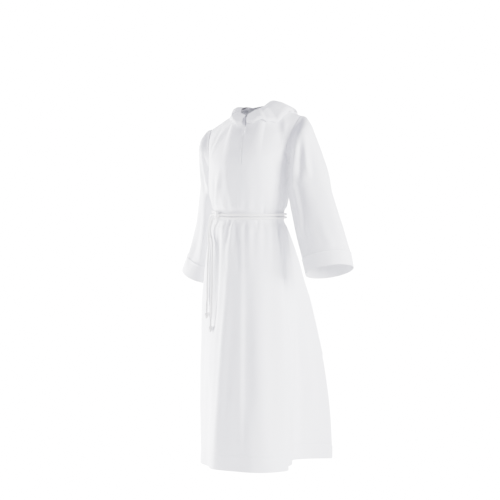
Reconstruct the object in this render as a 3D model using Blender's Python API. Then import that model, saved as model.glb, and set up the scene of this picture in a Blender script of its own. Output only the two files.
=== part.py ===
"""Child's hooded alb, hollow as it is when worn, with a neck zip and a rope cincture.

Metres. +Z is up, the front faces -Y and +X is the wearer's left.
The origin is the base of the neck, between the shoulders that hold the robe up.
"""
import math

import bmesh
import bpy
import numpy as np
from mathutils import Matrix, Vector
from mathutils.bvhtree import BVHTree

# ---- driving sizes -------------------------------------------------------------------------
CLOTH = 0.0016              # wall of the cloth
SEAM_GAP = 0.00018          # each piece stops this short of a seam
UNDERARM_Z = -0.135         # level of the underarms before the shoulders tilt
BELT_Z = -0.288             # middle of the two cincture turns
GROOVE_DROP = 0.017         # share of the skirt that the cincture holds in
HEM_Z = -1.053              # skirt hem
SHOULDER_TILT = 0.13        # rise of the left shoulder for each metre across
SHOULDER_X = 0.155          # shoulder point, half of the shoulder breadth
SHOULDER_Y = 0.012
SHOULDER_Z = -0.004
SLEEVE_GAP = 0.0005         # clear of the armhole's raw edge
SLEEVE_HEAD = 0.006         # how far a sleeve runs straight out of its armhole
NECK_HALF_WIDTH = 0.056
NECK_SHIFT = 0.008          # the neckline and the zip sit a little to the left
NECK_FRONT = -0.066         # front of the neckline, where the zip starts
NECK_BACK = 0.046
NECK_Z_FRONT = 0.012
NECK_Z_SIDE = 0.038
NECK_Z_BACK = 0.046
SIDE_Y = -0.024             # the side seams at the waist and chest
YOKE_REACH = 0.107          # how far before and behind them the armholes draw the cloth
ROPE = 0.0068               # thickness of the cincture's cord
HITCH_PACE = 0.32           # the cord's points are this much closer in the hitch
TURN_RISE = 0.0049          # the two turns lie this far above and below the belt line
BELT_CLEAR = 0.0014         # the cord lies this far off the gathered cloth
TAIL_CLEAR = 0.0014

# Columns round the body are counted by the rows of FOLDS. The front panel runs from the
# right side seam to the left one, and the back panel from there round to the right again.
COLUMNS_PER_FOLD = 3
RIGHT_SEAM, CENTRE_FRONT, LEFT_SEAM = 0, 4, 9
FRONT_NECK = (8 / 3, 16 / 3)
BACK_NECK = (41 / 3, 52 / 3)

# Skirt folds: the angle at the belt in degrees from centre front towards the left, where
# the fold meets the hem in metres, and how soon below the belt it swings out.
FOLDS = (
    # name            belt_angle  hem_x   hem_y   flare
    ("right_seam",        -90, -0.160, -0.010, 3.6),
    ("right_crest",       -66, -0.152, -0.068, 4.4),
    ("right_hollow",      -40, -0.104, -0.112, 2.2),
    ("front_ridge",       -13, -0.058, -0.162, 1.7),
    ("centre_crease",       8,  0.026, -0.168, 1.5),
    ("front_flat",         30,  0.080, -0.165, 1.4),
    ("left_flat",          52,  0.124, -0.138, 1.5),
    ("left_front_crest",   72,  0.154, -0.080, 1.7),
    ("left_hollow",        83,  0.122, -0.028, 1.2),
    ("left_seam_ridge",    92,  0.116,  0.026, 1.2),
    ("left_deep_valley",  102,  0.082,  0.104, 0.9),
    ("rear_left_turn",    113,  0.108,  0.150, 1.4),
    ("rear_left_crest",   127,  0.174,  0.196, 1.9),
    ("rear_valley_1",     143,  0.098,  0.184, 1.3),
    ("rear_crest_1",      157,  0.082,  0.240, 1.6),
    ("rear_valley_2",     170,  0.038,  0.168, 1.2),
    ("rear_crest_2",      184, -0.008,  0.238, 1.6),
    ("rear_valley_3",     198, -0.046,  0.154, 1.2),
    ("rear_crest_3",      213, -0.108,  0.206, 1.7),
    ("rear_valley_4",     228, -0.102,  0.116, 1.2),
    ("rear_crest_4",      242, -0.176,  0.098, 1.8),
    ("rear_valley_5",     256, -0.132,  0.042, 1.3),
)

# Level rings of the body from the belt to the underarms.
TORSO = (
    # name        z        half_width  front    back    squareness  shift_x
    ("belt",     BELT_Z,      0.1120, -0.1140, 0.0600, 2.0, -0.0045),
    ("groove",   -0.2745,     0.1125, -0.1145, 0.0605, 2.0, -0.0045),
    ("roll",     -0.256,      0.1200, -0.1225, 0.0685, 2.0, -0.0040),
    ("ribs",     -0.222,      0.1240, -0.1275, 0.0740, 2.1, -0.0020),
    ("chest",    -0.178,      0.1245, -0.1310, 0.0790, 2.2, -0.0005),
    ("underarm", UNDERARM_Z,  0.1245, -0.1310, 0.0820, 2.2,  0.0000),
)

# Cross sections of each sleeve: the point next to the body and the point outside the arm,
# where the middle lies from front to back, half of the depth, and how far the rear edge hangs
# below the front one.
SLEEVE_LEFT = (
    # name      inner_x inner_z outer_x outer_z   y       depth  rear_drop
    ("cap",       0.1345, -0.1360, 0.1910, -0.0130, -0.006, 0.052, 0.000),
    ("deltoid",   0.1350, -0.1560, 0.2090, -0.0620, -0.010, 0.054, 0.002),
    ("upper",     0.1350, -0.1800, 0.2280, -0.1100, -0.016, 0.055, 0.004),
    ("bicep",     0.1350, -0.2120, 0.2470, -0.1520, -0.022, 0.055, 0.006),
    ("elbow_1",   0.1380, -0.2480, 0.2660, -0.2000, -0.027, 0.055, 0.009),
    ("elbow_2",   0.1490, -0.2940, 0.2860, -0.2520, -0.031, 0.055, 0.012),
    ("forearm",   0.1630, -0.3420, 0.3070, -0.3060, -0.036, 0.055, 0.014),
    ("wrist",     0.1800, -0.3940, 0.3280, -0.3620, -0.042, 0.055, 0.016),
    ("band",      0.1890, -0.4220, 0.3380, -0.3880, -0.045, 0.055, 0.017),
    ("cuff",      0.2030, -0.4680, 0.3500, -0.4320, -0.050, 0.055, 0.018),
)
SLEEVE_RIGHT = (
    # name       inner_x  inner_z  outer_x  outer_z  y      depth  rear_drop
    ("cap",      -0.1345, -0.1680, -0.1820, -0.0560, 0.010, 0.051, 0.000),
    ("deltoid",  -0.1350, -0.1860, -0.1900, -0.1060, 0.024, 0.051, 0.001),
    ("upper",    -0.1350, -0.2120, -0.1980, -0.1520, 0.037, 0.050, 0.002),
    ("bicep",    -0.1355, -0.2440, -0.2060, -0.1960, 0.048, 0.050, 0.002),
    ("elbow_1",  -0.1370, -0.2800, -0.2140, -0.2400, 0.056, 0.051, 0.000),
    ("elbow_2",  -0.1400, -0.3220, -0.2220, -0.2860, 0.062, 0.052, -0.002),
    ("forearm",  -0.1460, -0.3680, -0.2320, -0.3340, 0.065, 0.053, -0.006),
    ("wrist",    -0.1530, -0.4200, -0.2480, -0.3840, 0.066, 0.054, -0.010),
    ("band",     -0.1570, -0.4480, -0.2600, -0.4100, 0.066, 0.055, -0.012),
    ("cuff",     -0.1640, -0.5000, -0.2800, -0.4580, 0.065, 0.056, -0.015),
)
# Long hollows down the sleeves: where round the sleeve in degrees from its outer line over
# the front, how wide in degrees, how deep, and the sections between which they run.
SLEEVE_HOLLOWS = (
    # centre  width  depth   first  last
    (52,      26,    0.007,  0.3,   4.6),
    (112,     24,    0.006,  2.4,   6.2),
    (236,     30,    0.007,  1.0,   6.0),
    (300,     28,    0.005,  2.5,   8.0),
)

# The hood lies back round the neck. Each section is a gutter of cloth: it leaves the neckline,
# lies on the shoulders or the back as far as its fold, and comes up again to the face edge.
HOOD = (
    # neck_angle  fold_x  fold_y   fold_z   edge_x  edge_y  edge_z  gape
    (5,           0.0090, -0.0770,  0.0050, 0.0048, -0.0675, 0.0180, 0.0068),
    (28,          0.0340, -0.0760,  0.0120, 0.0200, -0.0570, 0.0250, 0.0086),
    (54,          0.0690, -0.0540,  0.0150, 0.0370, -0.0370, 0.0330, 0.0098),
    (86,          0.1020, -0.0060,  0.0120, 0.0480, -0.0060, 0.0490, 0.0110),
    (118,         0.1080,  0.0440, -0.0040, 0.0460,  0.0360, 0.0520, 0.0150),
    (148,         0.0800,  0.0860, -0.0900, 0.0330,  0.0780, 0.0420, 0.0200),
    (180,         0.0000,  0.0920, -0.1680, 0.0000,  0.0980, 0.0320, 0.0260),
)
HOOD_TILT = 0.20            # the hood is higher on the left, as it has been pushed back
HOOD_FRONT_COLUMNS = 8
HOOD_BACK_COLUMNS = 9
HOOD_CLEAR = 0.0026         # the hood lies this far off the robe
HOOD_NARROW = 0.30          # the right side of the hood is this much narrower

# The zip, from the neckline down. Widths are across the front.
TAPE_HALF_WIDTH = 0.0115
TAPE = 0.0008
CHAIN_HALF_WIDTH = 0.0015
CHAIN = 0.0014
PIN_RADIUS = 0.0007
PIN_OUT = 0.0038            # from the cloth's face to the middle of the slider's pin
PULL_LENGTH = 0.021

# The cincture: one cord folded in two, laid once round the waist, with both of its ends drawn
# out through the fold on the right hip. Each row is a point of one half of the cord: its angle
# round the belt, its height from the belt line and how many cord radii it stands off.
UPPER_HALF = (
    # angle   height   off
    (-33.0,   0.0000, 3.25),
    (-33.5,   0.0062, 3.10),
    (-36.5,   0.0108, 2.30),
    (-42.0,   0.0117, 1.25),
    (-50.0,   0.0116, 1.00),
    (-62.0,   0.0112, 1.00),
    (-78.0,   0.0094, 1.00),
    (-96.0,   0.0070, 1.00),
)
UPPER_END = (
    (-10.0,   0.0049, 1.00),
    (-33.0,   0.0042, 1.00),
    (-41.0,   0.0037, 1.05),
    (-47.0,   0.0036, 1.15),
    (-53.0,   0.0030, 1.70),
    (-57.5,   0.0000, 2.75),
    (-61.0,  -0.0065, 3.35),
    (-63.0,  -0.0145, 3.50),
    (-64.0,  -0.0230, 3.80),
    (-64.5,  -0.0310, 4.20),
)
LOWER_END = (
    (-10.0,  -0.0049, 1.00),
    (-33.0,  -0.0042, 1.00),
    (-39.0,  -0.0038, 1.20),
    (-44.0,  -0.0046, 2.20),
    (-48.0,  -0.0090, 3.30),
    (-50.5,  -0.0160, 3.45),
    (-51.5,  -0.0240, 3.70),
    (-52.0,  -0.0320, 4.10),
)
ROPE_SIDES_RESOLUTION = 2
# The two ends hang on the skirt: the columns they hang over at the top and at the foot, and
# how far down they reach.
TAILS = (
    # name                 top     foot    length
    ("cincture_end_left",   1.85,   2.30,   0.300),
    ("cincture_end_right",  1.42,   1.78,   0.262),
)
KNOT_RADIUS = 0.0062
KNOT_LENGTH = 0.0150


# ---- small helpers -------------------------------------------------------------------------
def unit(vector):
    """A vector or an array of vectors at length one."""
    vector = np.asarray(vector, float)
    length = np.linalg.norm(vector, axis=-1, keepdims=True)
    return vector / np.maximum(length, 1e-12)


def smooth(value):
    """Ease from 0 to 1, held outside that range."""
    value = min(max(value, 0.0), 1.0)
    return value * value * (3 - 2 * value)


def through(values, place, closed=False):
    """A smooth curve through evenly counted values, read at a fractional place."""
    values = np.asarray(values, float)
    count = len(values)
    last = count if closed else count - 1
    first = min(int(math.floor(place)), last - 1) if not closed else int(math.floor(place))
    part = place - first
    picks = [first - 1, first, first + 1, first + 2]
    if closed:
        a, b, c, d = (values[index % count] for index in picks)
    else:
        b, c = values[picks[1]], values[picks[2]]
        a = values[picks[0]] if picks[0] >= 0 else 2 * b - c
        d = values[picks[3]] if picks[3] < count else 2 * c - b
    return b + 0.5 * part * (c - a + part * (2 * a - 5 * b + 4 * c - d + part * (3 * (b - c) + d - a)))


def bezier(a, b, c, d, part):
    """A point on the cubic curve from a to d that leaves towards b and arrives from c."""
    rest = 1 - part
    return rest ** 3 * a + 3 * rest * rest * part * b + 3 * rest * part * part * c + part ** 3 * d


def material(name, colour, roughness, metallic=0.0):
    """A plain Principled material."""
    made = bpy.data.materials.new(name)
    made.use_nodes = True
    shader = made.node_tree.nodes["Principled BSDF"]
    shader.inputs["Base Color"].default_value = (*colour, 1)
    shader.inputs["Roughness"].default_value = roughness
    shader.inputs["Metallic"].default_value = metallic
    return made


def add_object(name, mesh, finish):
    """Put a finished mesh in the scene under its node's name."""
    mesh.materials.append(finish)
    made = bpy.data.objects.new(name, mesh)
    bpy.context.scene.collection.objects.link(made)
    return made


# ---- the body's surface --------------------------------------------------------------------
BELT_ANGLES = np.array([row[1] for row in FOLDS] + [270.0])


def belt_angle(column):
    """Angle of a column at the belt in radians, from centre front towards the left."""
    turns, column = divmod(column, len(FOLDS))
    extended = np.concatenate([[BELT_ANGLES[-2] - 360], BELT_ANGLES, [BELT_ANGLES[1] + 360]])
    return math.radians(through(extended, column + 1) + 360 * turns)


def ring_point(column, half_width, front, back, squareness, shift_x):
    """A point of a level ring of the body: half ellipses before and behind the side seams."""
    angle = belt_angle(column)
    across, along = math.sin(angle), math.cos(angle)
    power = 2 / squareness
    x = half_width * math.copysign(abs(across) ** power, across)
    depth = SIDE_Y - front if along > 0 else back - SIDE_Y
    return np.array([x + shift_x, SIDE_Y - depth * math.copysign(abs(along) ** power, along)])


def gather(column):
    """Uneven small gathers where the cord draws the cloth in."""
    wave = math.cos(COLUMNS_PER_FOLD * math.pi * column)
    return 0.0019 * wave * (1 + 0.45 * math.sin(1.9 * column + 0.7))


def skirt_point(column, drop):
    """A point of the skirt: drop is 0 at the belt and 1 at the hem."""
    belt = ring_point(column, *TORSO[0][2:])
    hem = np.array([through([row[2] for row in FOLDS], column, True),
                    through([row[3] for row in FOLDS], column, True)])
    flare = through([row[4] for row in FOLDS], column, True)
    swing = max(drop - GROOVE_DROP, 0.0) / (1 - GROOVE_DROP)
    level = belt + (hem - belt) * (1 - (1 - swing) ** flare)
    outward = unit(belt - np.array([0.0, SIDE_Y]))
    puff = 0.0045 * smooth(swing / 0.035) * (1 - smooth(swing / 0.5))
    level = level + outward * (puff + gather(column) * smooth(swing / 0.03) * (1 - smooth(swing / 0.22)))
    return np.array([*level, BELT_Z + (HEM_Z - BELT_Z) * drop])


def torso_point(column, rise):
    """A point between the belt, at rise 0, and the underarms, at rise 1."""
    place = rise * (len(TORSO) - 1)
    z, *sizes = (through([row[index] for row in TORSO], place) for index in range(1, 7))
    level = ring_point(column, *sizes)
    outward = unit(level - np.array([0.0, SIDE_Y]))
    level = level + outward * gather(column) * smooth((rise - 0.2) / 0.2) * (1 - smooth(rise / 0.8))
    return np.array([*level, z])


def neck_point(angle):
    """A point of the neckline at an angle in degrees from the front towards the left."""
    across, along = math.sin(math.radians(angle)), math.cos(math.radians(angle))
    depth = -NECK_FRONT if along > 0 else NECK_BACK
    end_z = NECK_Z_FRONT if along > 0 else NECK_Z_BACK
    z = NECK_Z_SIDE + (end_z - NECK_Z_SIDE) * abs(along) ** 1.4
    return np.array([NECK_SHIFT + NECK_HALF_WIDTH * across, -depth * along, z])


def top_point(column):
    """Where a column ends, and how squarely it meets the neckline there: 0 on a shoulder seam."""
    front = column <= LEFT_SEAM
    first, last = (RIGHT_SEAM, LEFT_SEAM) if front else (LEFT_SEAM, len(FOLDS))
    neck = FRONT_NECK if front else BACK_NECK
    sides = (-1, 1) if front else (1, -1)
    if neck[0] <= column <= neck[1]:
        if not front:
            angle = 90 + 180 * (column - neck[0]) / (neck[1] - neck[0])
        elif column < CENTRE_FRONT:
            angle = -90 * (CENTRE_FRONT - column) / (CENTRE_FRONT - neck[0])
        else:
            angle = 90 * (column - CENTRE_FRONT) / (neck[1] - CENTRE_FRONT)
        return neck_point(angle), math.cos(math.radians(angle)) ** 2
    if column < neck[0]:
        share, side = (neck[0] - column) / (neck[0] - first), sides[0]
    else:
        share, side = (column - neck[1]) / (last - neck[1]), sides[1]
    inner = neck_point(90 * side)
    outer = np.array([SHOULDER_X * side, SHOULDER_Y, SHOULDER_Z])
    return inner + (outer - inner) * share, 0.0


def yoke_point(column, rise):
    """A point above the underarms: rise is 0 at their level and 1 on the shoulder or neckline."""
    front = column <= LEFT_SEAM
    facing = -1 if front else 1
    base = torso_point(column, 1.0)
    top, at_neck = top_point(column)
    edge = max(0.0, 1 - abs(base[1] - SIDE_Y) / YOKE_REACH) ** 1.7
    side = math.copysign(1, base[0])
    leave = np.array([0, 0, 0.062]) * (1 - edge) + np.array([0.003 * side, 0.046 * facing, 0.030]) * edge
    on_shoulder = np.array([-0.010 * side * edge, 0.048 * facing, -0.014 - 0.020 * edge])
    on_neck = np.array([0, 0.020 * facing, -0.046])
    arrive = on_neck * at_neck + on_shoulder * (1 - at_neck)
    return bezier(base, base + leave, top + arrive, top, rise)


def tilt(point):
    """Lift the wearer's left shoulder and lower the right one."""
    share = smooth((point[2] - BELT_Z) / (UNDERARM_Z + 0.03 - BELT_Z))
    return np.array([point[0], point[1], point[2] + SHOULDER_TILT * point[0] * share])


def body_point(column, height):
    """The robe's outer surface. height runs -1 hem, 0 belt, 1 underarms, 2 shoulders."""
    if height <= 0:
        return tilt(skirt_point(column, -height))
    if height <= 1:
        return tilt(torso_point(column, height))
    return tilt(yoke_point(column, height - 1))


def body_normal(column, height):
    """Outward normal of the body's surface."""
    step = 0.02
    front = column <= LEFT_SEAM
    before, after = column - step, column + step
    if height > 1:
        first, last = (RIGHT_SEAM, LEFT_SEAM) if front else (LEFT_SEAM + 1e-6, len(FOLDS))
        before, after = max(before, first), min(after, last)
    low, high = max(height - step, -1.0), min(height + step, 2.0)
    along = body_point(after, height) - body_point(before, height)
    up = body_point(column, high) - body_point(column, low)
    return unit(np.cross(along, up))


# ---- walls of cloth ------------------------------------------------------------------------
def split(points, quad):
    """Cut a quad into two triangles along its shorter diagonal."""
    a, b, c, d = quad
    first = Vector(points[a]) - Vector(points[c])
    second = Vector(points[b]) - Vector(points[d])
    if first.length <= second.length:
        return (a, b, c), (a, c, d)
    return (a, b, d), (b, c, d)


def wall(name, outer, inner, quads, finish):
    """Close a sheet's outer and inner points into one body. Each quad runs round the outside."""
    keys = sorted(outer)
    place = {key: index for index, key in enumerate(keys)}
    count = len(keys)
    points = [outer[key] for key in keys] + [inner[key] for key in keys]
    faces = []
    edges = {}
    for quad in quads:
        a, b, c, d = (place[key] for key in quad)
        for face in split(points, (a, b, c, d)):
            faces.append(face)
            faces.append(tuple(index + count for index in reversed(face)))
        for start, end in ((a, b), (b, c), (c, d), (d, a)):
            edges[(start, end)] = True
    for start, end in edges:
        if (end, start) not in edges:
            faces.append((end, start, start + count, end + count))
    mesh = bpy.data.meshes.new(name)
    mesh.from_pydata([tuple(point) for point in points], [], faces)
    mesh.validate()
    mesh.shade_smooth()
    mesh.set_sharp_from_angle(angle=math.radians(50))
    return add_object(name, mesh, finish)


SKIRT_ROWS = (1.0, 0.935, 0.82, 0.69, 0.56, 0.43, 0.31, 0.20, 0.11, 0.045, GROOVE_DROP)
TORSO_ROWS = 5
YOKE_ROWS = 9
HEIGHTS = ([-drop for drop in SKIRT_ROWS] + [row / TORSO_ROWS for row in range(TORSO_ROWS)]
           + [1 + row / YOKE_ROWS for row in range(YOKE_ROWS + 1)])
UNDERARM_ROW = len(SKIRT_ROWS) + TORSO_ROWS
TOP_ROW = len(HEIGHTS) - 1
CENTRE_COLUMN = CENTRE_FRONT * COLUMNS_PER_FOLD
SLIT_HALF_WIDTHS = (0.0, 0.0021, 0.0021, 0.0021, 0.0021, 0.0021, 0.0022, 0.0026, 0.0034, 0.0044)


def panel_points(first, last):
    """Outer points and normals of a panel, as lists of rows of columns."""
    columns = [column / COLUMNS_PER_FOLD for column in range(first, last + 1)]
    nudge = 1e-6 if first else 0
    outer = np.array([[body_point(column + nudge, height) for column in columns] for height in HEIGHTS])
    normals = np.array([[body_normal(column + nudge, height) for column in columns] for height in HEIGHTS])
    return outer, normals


def level_shoulders(points, normals, corners):
    """Both panels leave a shoulder seam square to the same line, so that their edges match."""
    for low, high in ((0, corners[0]), (corners[1], points.shape[1] - 1)):
        along = unit(points[TOP_ROW, high] - points[TOP_ROW, low])
        square = unit(np.cross(along, [0, 1, 0]))
        square = square * math.copysign(1, square[2])
        normals[TOP_ROW, low:high + 1] = square


def pull_back(points, at_neck_corners):
    """Stop a panel short of its side seams and shoulder seams."""
    pulled = points.copy()
    for row in range(UNDERARM_ROW + 1):
        for edge, beside in ((0, 1), (-1, -2)):
            inwards = unit(points[row, beside] - points[row, edge])
            pulled[row, edge] = points[row, edge] + inwards * SEAM_GAP
    low, high = at_neck_corners
    for column in list(range(0, low + 1)) + list(range(high, points.shape[1])):
        down = points[TOP_ROW - 1, column] - points[TOP_ROW, column]
        pulled[TOP_ROW, column, 1] += math.copysign(SEAM_GAP, down[1])
    return pulled


def build_panel(name, first, last, finish):
    """The front or the back, cut in one length. The front is slit for the zip."""
    points, normals = panel_points(first, last)
    is_front = first == 0
    neck = FRONT_NECK if is_front else BACK_NECK
    corners = [round(place * COLUMNS_PER_FOLD) - first for place in neck]
    level_shoulders(points, normals, corners)
    outside = pull_back(points, corners)
    inside = pull_back(points - normals * CLOTH, corners)
    outer, inner, quads = {}, {}, []

    def key(row, column, left):
        if is_front and column == CENTRE_COLUMN and row > UNDERARM_ROW:
            return (row, column, int(left))
        return (row, column, 0)

    for row in range(len(HEIGHTS)):
        for column in range(points.shape[1]):
            for left in (0, 1):
                opened = np.zeros(3)
                made = key(row, column, left)
                if is_front and column == CENTRE_COLUMN and row > UNDERARM_ROW:
                    beside = points[row, column + (1 if left else -1)]
                    opened = unit(beside - points[row, column]) * SLIT_HALF_WIDTHS[row - UNDERARM_ROW]
                outer[made] = outside[row, column] + opened
                inner[made] = inside[row, column] + opened
    for row in range(len(HEIGHTS) - 1):
        for column in range(points.shape[1] - 1):
            left = column >= CENTRE_COLUMN
            quads.append((key(row, column, left), key(row, column + 1, left),
                          key(row + 1, column + 1, left), key(row + 1, column, left)))
    made = wall(name, outer, inner, quads, finish)
    return made, points, normals, outside, inside


# ---- sleeves -------------------------------------------------------------------------------
def armhole(side, front, back):
    """The armhole's outer and inner points and outward directions, from the shoulder forwards."""
    def edge(panel, at_start):
        _, _, _, outside, inside = panel
        column = 0 if at_start else -1
        return outside[UNDERARM_ROW:, column], inside[UNDERARM_ROW:, column]

    front_outer, front_inner = edge(front, side < 0)
    back_outer, back_inner = edge(back, side > 0)
    outer = np.concatenate([front_outer[::-1], back_outer[1:-1]])
    inner = np.concatenate([front_inner[::-1], back_inner[1:-1]])
    low = len(front_outer) - 1
    for ring, front_end, back_end in ((outer, front_outer, back_outer), (inner, front_inner, back_inner)):
        ring[0] = (front_end[-1] + back_end[-1]) / 2
        ring[low] = (front_end[0] + back_end[0]) / 2
    along = np.roll(outer, -1, axis=0) - np.roll(outer, 1, axis=0)
    away = unit(np.cross(along, outer - inner)) * -side
    return outer, inner, away


def sleeve_ring(side, sections, place, around):
    """A point of a sleeve. place counts its sections, around is in degrees over the front."""
    inner_x, inner_z, outer_x, outer_z, y, depth, drop = (
        through([row[index] for row in sections], place) for index in range(1, 8))
    middle = np.array([(inner_x + outer_x) / 2, y, (inner_z + outer_z) / 2])
    out = np.array([outer_x - inner_x, 0, outer_z - inner_z]) / 2
    turn = math.radians(around)
    hollow = 0.0
    for centre, width, deep, first, last in SLEEVE_HOLLOWS:
        apart = (around - centre + 180) % 360 - 180
        length = smooth((place - first) / 1.2) * smooth((last - place) / 1.2)
        hollow += deep * length * math.exp(-(apart / width) ** 2)
    backwards = np.array([0, depth, -drop])
    shrink = 1 - hollow / depth
    return middle + (out * math.cos(turn) - backwards * math.sin(turn)) * shrink


def build_sleeve(name, side, sections, front, back, finish):
    """A wide sleeve from its armhole to its cuff, open at both ends."""
    outer_ring, inner_ring, away = armhole(side, front, back)
    count = len(outer_ring)
    rows = len(sections) + 2
    outside = np.zeros((rows, count, 3))
    outside[0] = outer_ring + away * SLEEVE_GAP
    outside[1] = outside[0] + np.array([SLEEVE_HEAD * side, 0, 0.0004])
    for row in range(len(sections)):
        for column in range(count):
            outside[row + 2, column] = sleeve_ring(side, sections, row, 360 * column / count)
    along = np.roll(outside, -1, axis=1) - np.roll(outside, 1, axis=1)
    down = np.gradient(outside, axis=0)
    normals = unit(np.cross(along, down)) * side
    inside = outside - normals * CLOTH
    inside[0] = inner_ring + away * SLEEVE_GAP
    outer, inner, quads = {}, {}, []
    for row in range(rows):
        for column in range(count):
            outer[(row, column)] = outside[row, column]
            inner[(row, column)] = inside[row, column]
    for row in range(rows - 1):
        for column in range(count):
            beside = (column + 1) % count
            quad = ((row, column), (row, beside), (row + 1, beside), (row + 1, column))
            quads.append(quad if side > 0 else quad[::-1])
    return wall(name, outer, inner, quads, finish)


# ---- hood ----------------------------------------------------------------------------------
def grid_tree(*grids, facing=1):
    """Grids of points as one surface that can be asked for its nearest point."""
    points, faces = [], []
    for grid in grids:
        rows, columns = grid.shape[:2]
        start = len(points)
        points.extend(Vector(point) for point in grid.reshape(-1, 3))
        for row in range(rows - 1):
            for column in range(columns - 1):
                a = start + row * columns + column
                faces.extend(split(points, (a, a + 1, a + columns + 1, a + columns)[::facing]))
    return BVHTree.FromPolygons(points, faces)


def lift(tree, point, clear):
    """A point moved out of the robe until it is clear of it by a given distance."""
    near, normal, _, distance = tree.find_nearest(Vector(point))
    near, normal = np.array(near), np.array(normal)
    outside = float(np.dot(point - near, normal)) > 0
    if outside and distance >= clear:
        return np.array(point)
    return near + normal * clear


def neck_column(angle):
    """The body's column that meets the neckline at an angle."""
    if abs(angle) <= 90:
        return CENTRE_FRONT + angle / 90 * (FRONT_NECK[1] - CENTRE_FRONT)
    share = (angle - 90) / 180 if angle > 0 else (angle + 270) / 180
    return BACK_NECK[0] + share * (BACK_NECK[1] - BACK_NECK[0])


def hood_sizes(angle):
    """The hood's fold and face edge at an angle round the neck, and the gape of its gutter."""
    side = 1 if angle >= 0 else -1
    place = float(np.interp(abs(angle), [row[0] for row in HOOD], range(len(HOOD))))
    fold_x, fold_y, fold_z, edge_x, edge_y, edge_z, gape = (
        through([row[index] for row in HOOD], place) for index in range(1, 8))
    narrow = 1 - HOOD_NARROW * math.sin(math.radians(abs(angle))) if side < 0 else 1
    fold = np.array([NECK_SHIFT + fold_x * side * narrow, fold_y, fold_z])
    edge = np.array([NECK_SHIFT + edge_x * side, edge_y, edge_z])
    for point in (fold, edge):
        point[2] += HOOD_TILT * point[0]
    return fold, edge, gape


def lying_section(tree, angle):
    """The hood from its seam on the neckline to its fold, lying on the robe."""
    fold, _, _ = hood_sizes(angle)
    column = neck_column(angle)
    root = body_point(column, 2.0) + body_normal(column, 2.0) * 0.0004
    section = [root]
    hanging = smooth((abs(angle) - 96) / 30)
    for share in (0.25, 0.6, 1.0):
        straight = root + (fold - root) * share
        below = tree.ray_cast(Vector((straight[0], straight[1], 0.3)), Vector((0, 0, -1)))[0]
        lying = np.array(below) if below is not None else straight
        section.append(lift(tree, lying + (straight - lying) * hanging, HOOD_CLEAR))
    return section


def upper_section(robe, lying, last, before, angle):
    """The hood from its fold back up to the face edge, clear of the layer that lies below."""
    _, edge, gape = hood_sizes(angle)
    normal = np.array(robe.find_nearest(Vector(last))[1])
    away = last - before
    away = unit(away - normal * np.dot(away, normal))
    upper = last + normal * gape
    section = [last + away * gape * 0.45 + normal * gape * 0.5, upper]
    for share in (0.33, 0.67):
        swell = normal * gape * 0.5 * math.sin(math.pi * share)
        section.append(lift(lying, upper + (edge - upper) * share + swell, gape * 0.9))
    section.append(edge)
    return section


def settle(tree, grid):
    """Raise the hood wherever the cloth between two of its points would cut into the robe."""
    rows, columns = grid.shape[:2]
    for _ in range(12):
        for row in range(1, rows):
            for column in range(columns - 1):
                here, beside = (row, column), (row, column + 1)
                above, across = (row - 1, column), (row - 1, column + 1)
                for one, other in ((here, beside), (here, above), (here, across), (above, beside)):
                    for share in (0.2, 0.4, 0.6, 0.8):
                        place = grid[one] * (1 - share) + grid[other] * share
                        near, normal, _, distance = tree.find_nearest(Vector(place))
                        depth = float(np.dot(place - np.array(near), np.array(normal)))
                        lack = HOOD_CLEAR * 0.5 - math.copysign(distance, depth)
                        for end in (one, other):
                            if lack > 0 and end[0] > 0:
                                grid[end] += np.array(normal) * lack


def build_hood(name, front, back, finish):
    """The hood as one sheet from one side of the zip round the back of the neck to the other."""
    tree = grid_tree(front[1], back[1])
    half = list(np.linspace(HOOD[0][0], 90, HOOD_FRONT_COLUMNS + 1))
    half = half + list(np.linspace(90, 180, HOOD_BACK_COLUMNS + 1))[1:]
    angles = half + [-angle for angle in half[-2::-1]]
    under = np.array([lying_section(tree, angle) for angle in angles]).swapaxes(0, 1)
    settle(tree, under)
    lying = grid_tree(under, facing=-1)
    upper = np.array([upper_section(tree, lying, under[3, index], under[2, index], angle)
                      for index, angle in enumerate(angles)]).swapaxes(0, 1)
    outside = np.concatenate([under, upper])
    along = np.gradient(outside, axis=1)
    across = np.gradient(outside, axis=0)
    normals = unit(np.cross(along, across))
    for index, angle in enumerate(angles):
        normals[0, index] = -body_normal(neck_column(angle), 2.0)
    inside = outside - normals * CLOTH
    outer, inner, quads = {}, {}, []
    rows, columns = outside.shape[:2]
    for row in range(rows):
        for column in range(columns):
            outer[(row, column)] = outside[row, column]
            inner[(row, column)] = inside[row, column]
    for row in range(rows - 1):
        for column in range(columns - 1):
            quads.append(((row, column), (row, column + 1), (row + 1, column + 1), (row + 1, column)))
    return wall(name, outer, inner, quads, finish)


# ---- cincture ------------------------------------------------------------------------------
def belt_place(angle, height, off):
    """A point beside the belt: an angle in degrees, a height, and cord radii off the cloth."""
    _, _, half_width, front, back, _, shift_x = TORSO[0]
    radius = ROPE / 2
    turn = math.radians(angle)
    grown = radius * off + BELT_CLEAR
    depth = (SIDE_Y - front if math.cos(turn) > 0 else back - SIDE_Y) + grown
    point = np.array([shift_x + (half_width + grown) * math.sin(turn),
                      SIDE_Y - depth * math.cos(turn), BELT_Z + height])
    return point


def cord_curve(name, points, finish):
    """A round cord along a route."""
    curve = bpy.data.curves.new(name, "CURVE")
    curve.dimensions = "3D"
    curve.bevel_depth = ROPE / 2
    curve.bevel_resolution = ROPE_SIDES_RESOLUTION
    curve.use_fill_caps = True
    spline = curve.splines.new("POLY")
    spline.points.add(len(points) - 1)
    for point, place in zip(spline.points, points):
        point.co = (*place, 1)
    return add_object(name, curve, finish)


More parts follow.
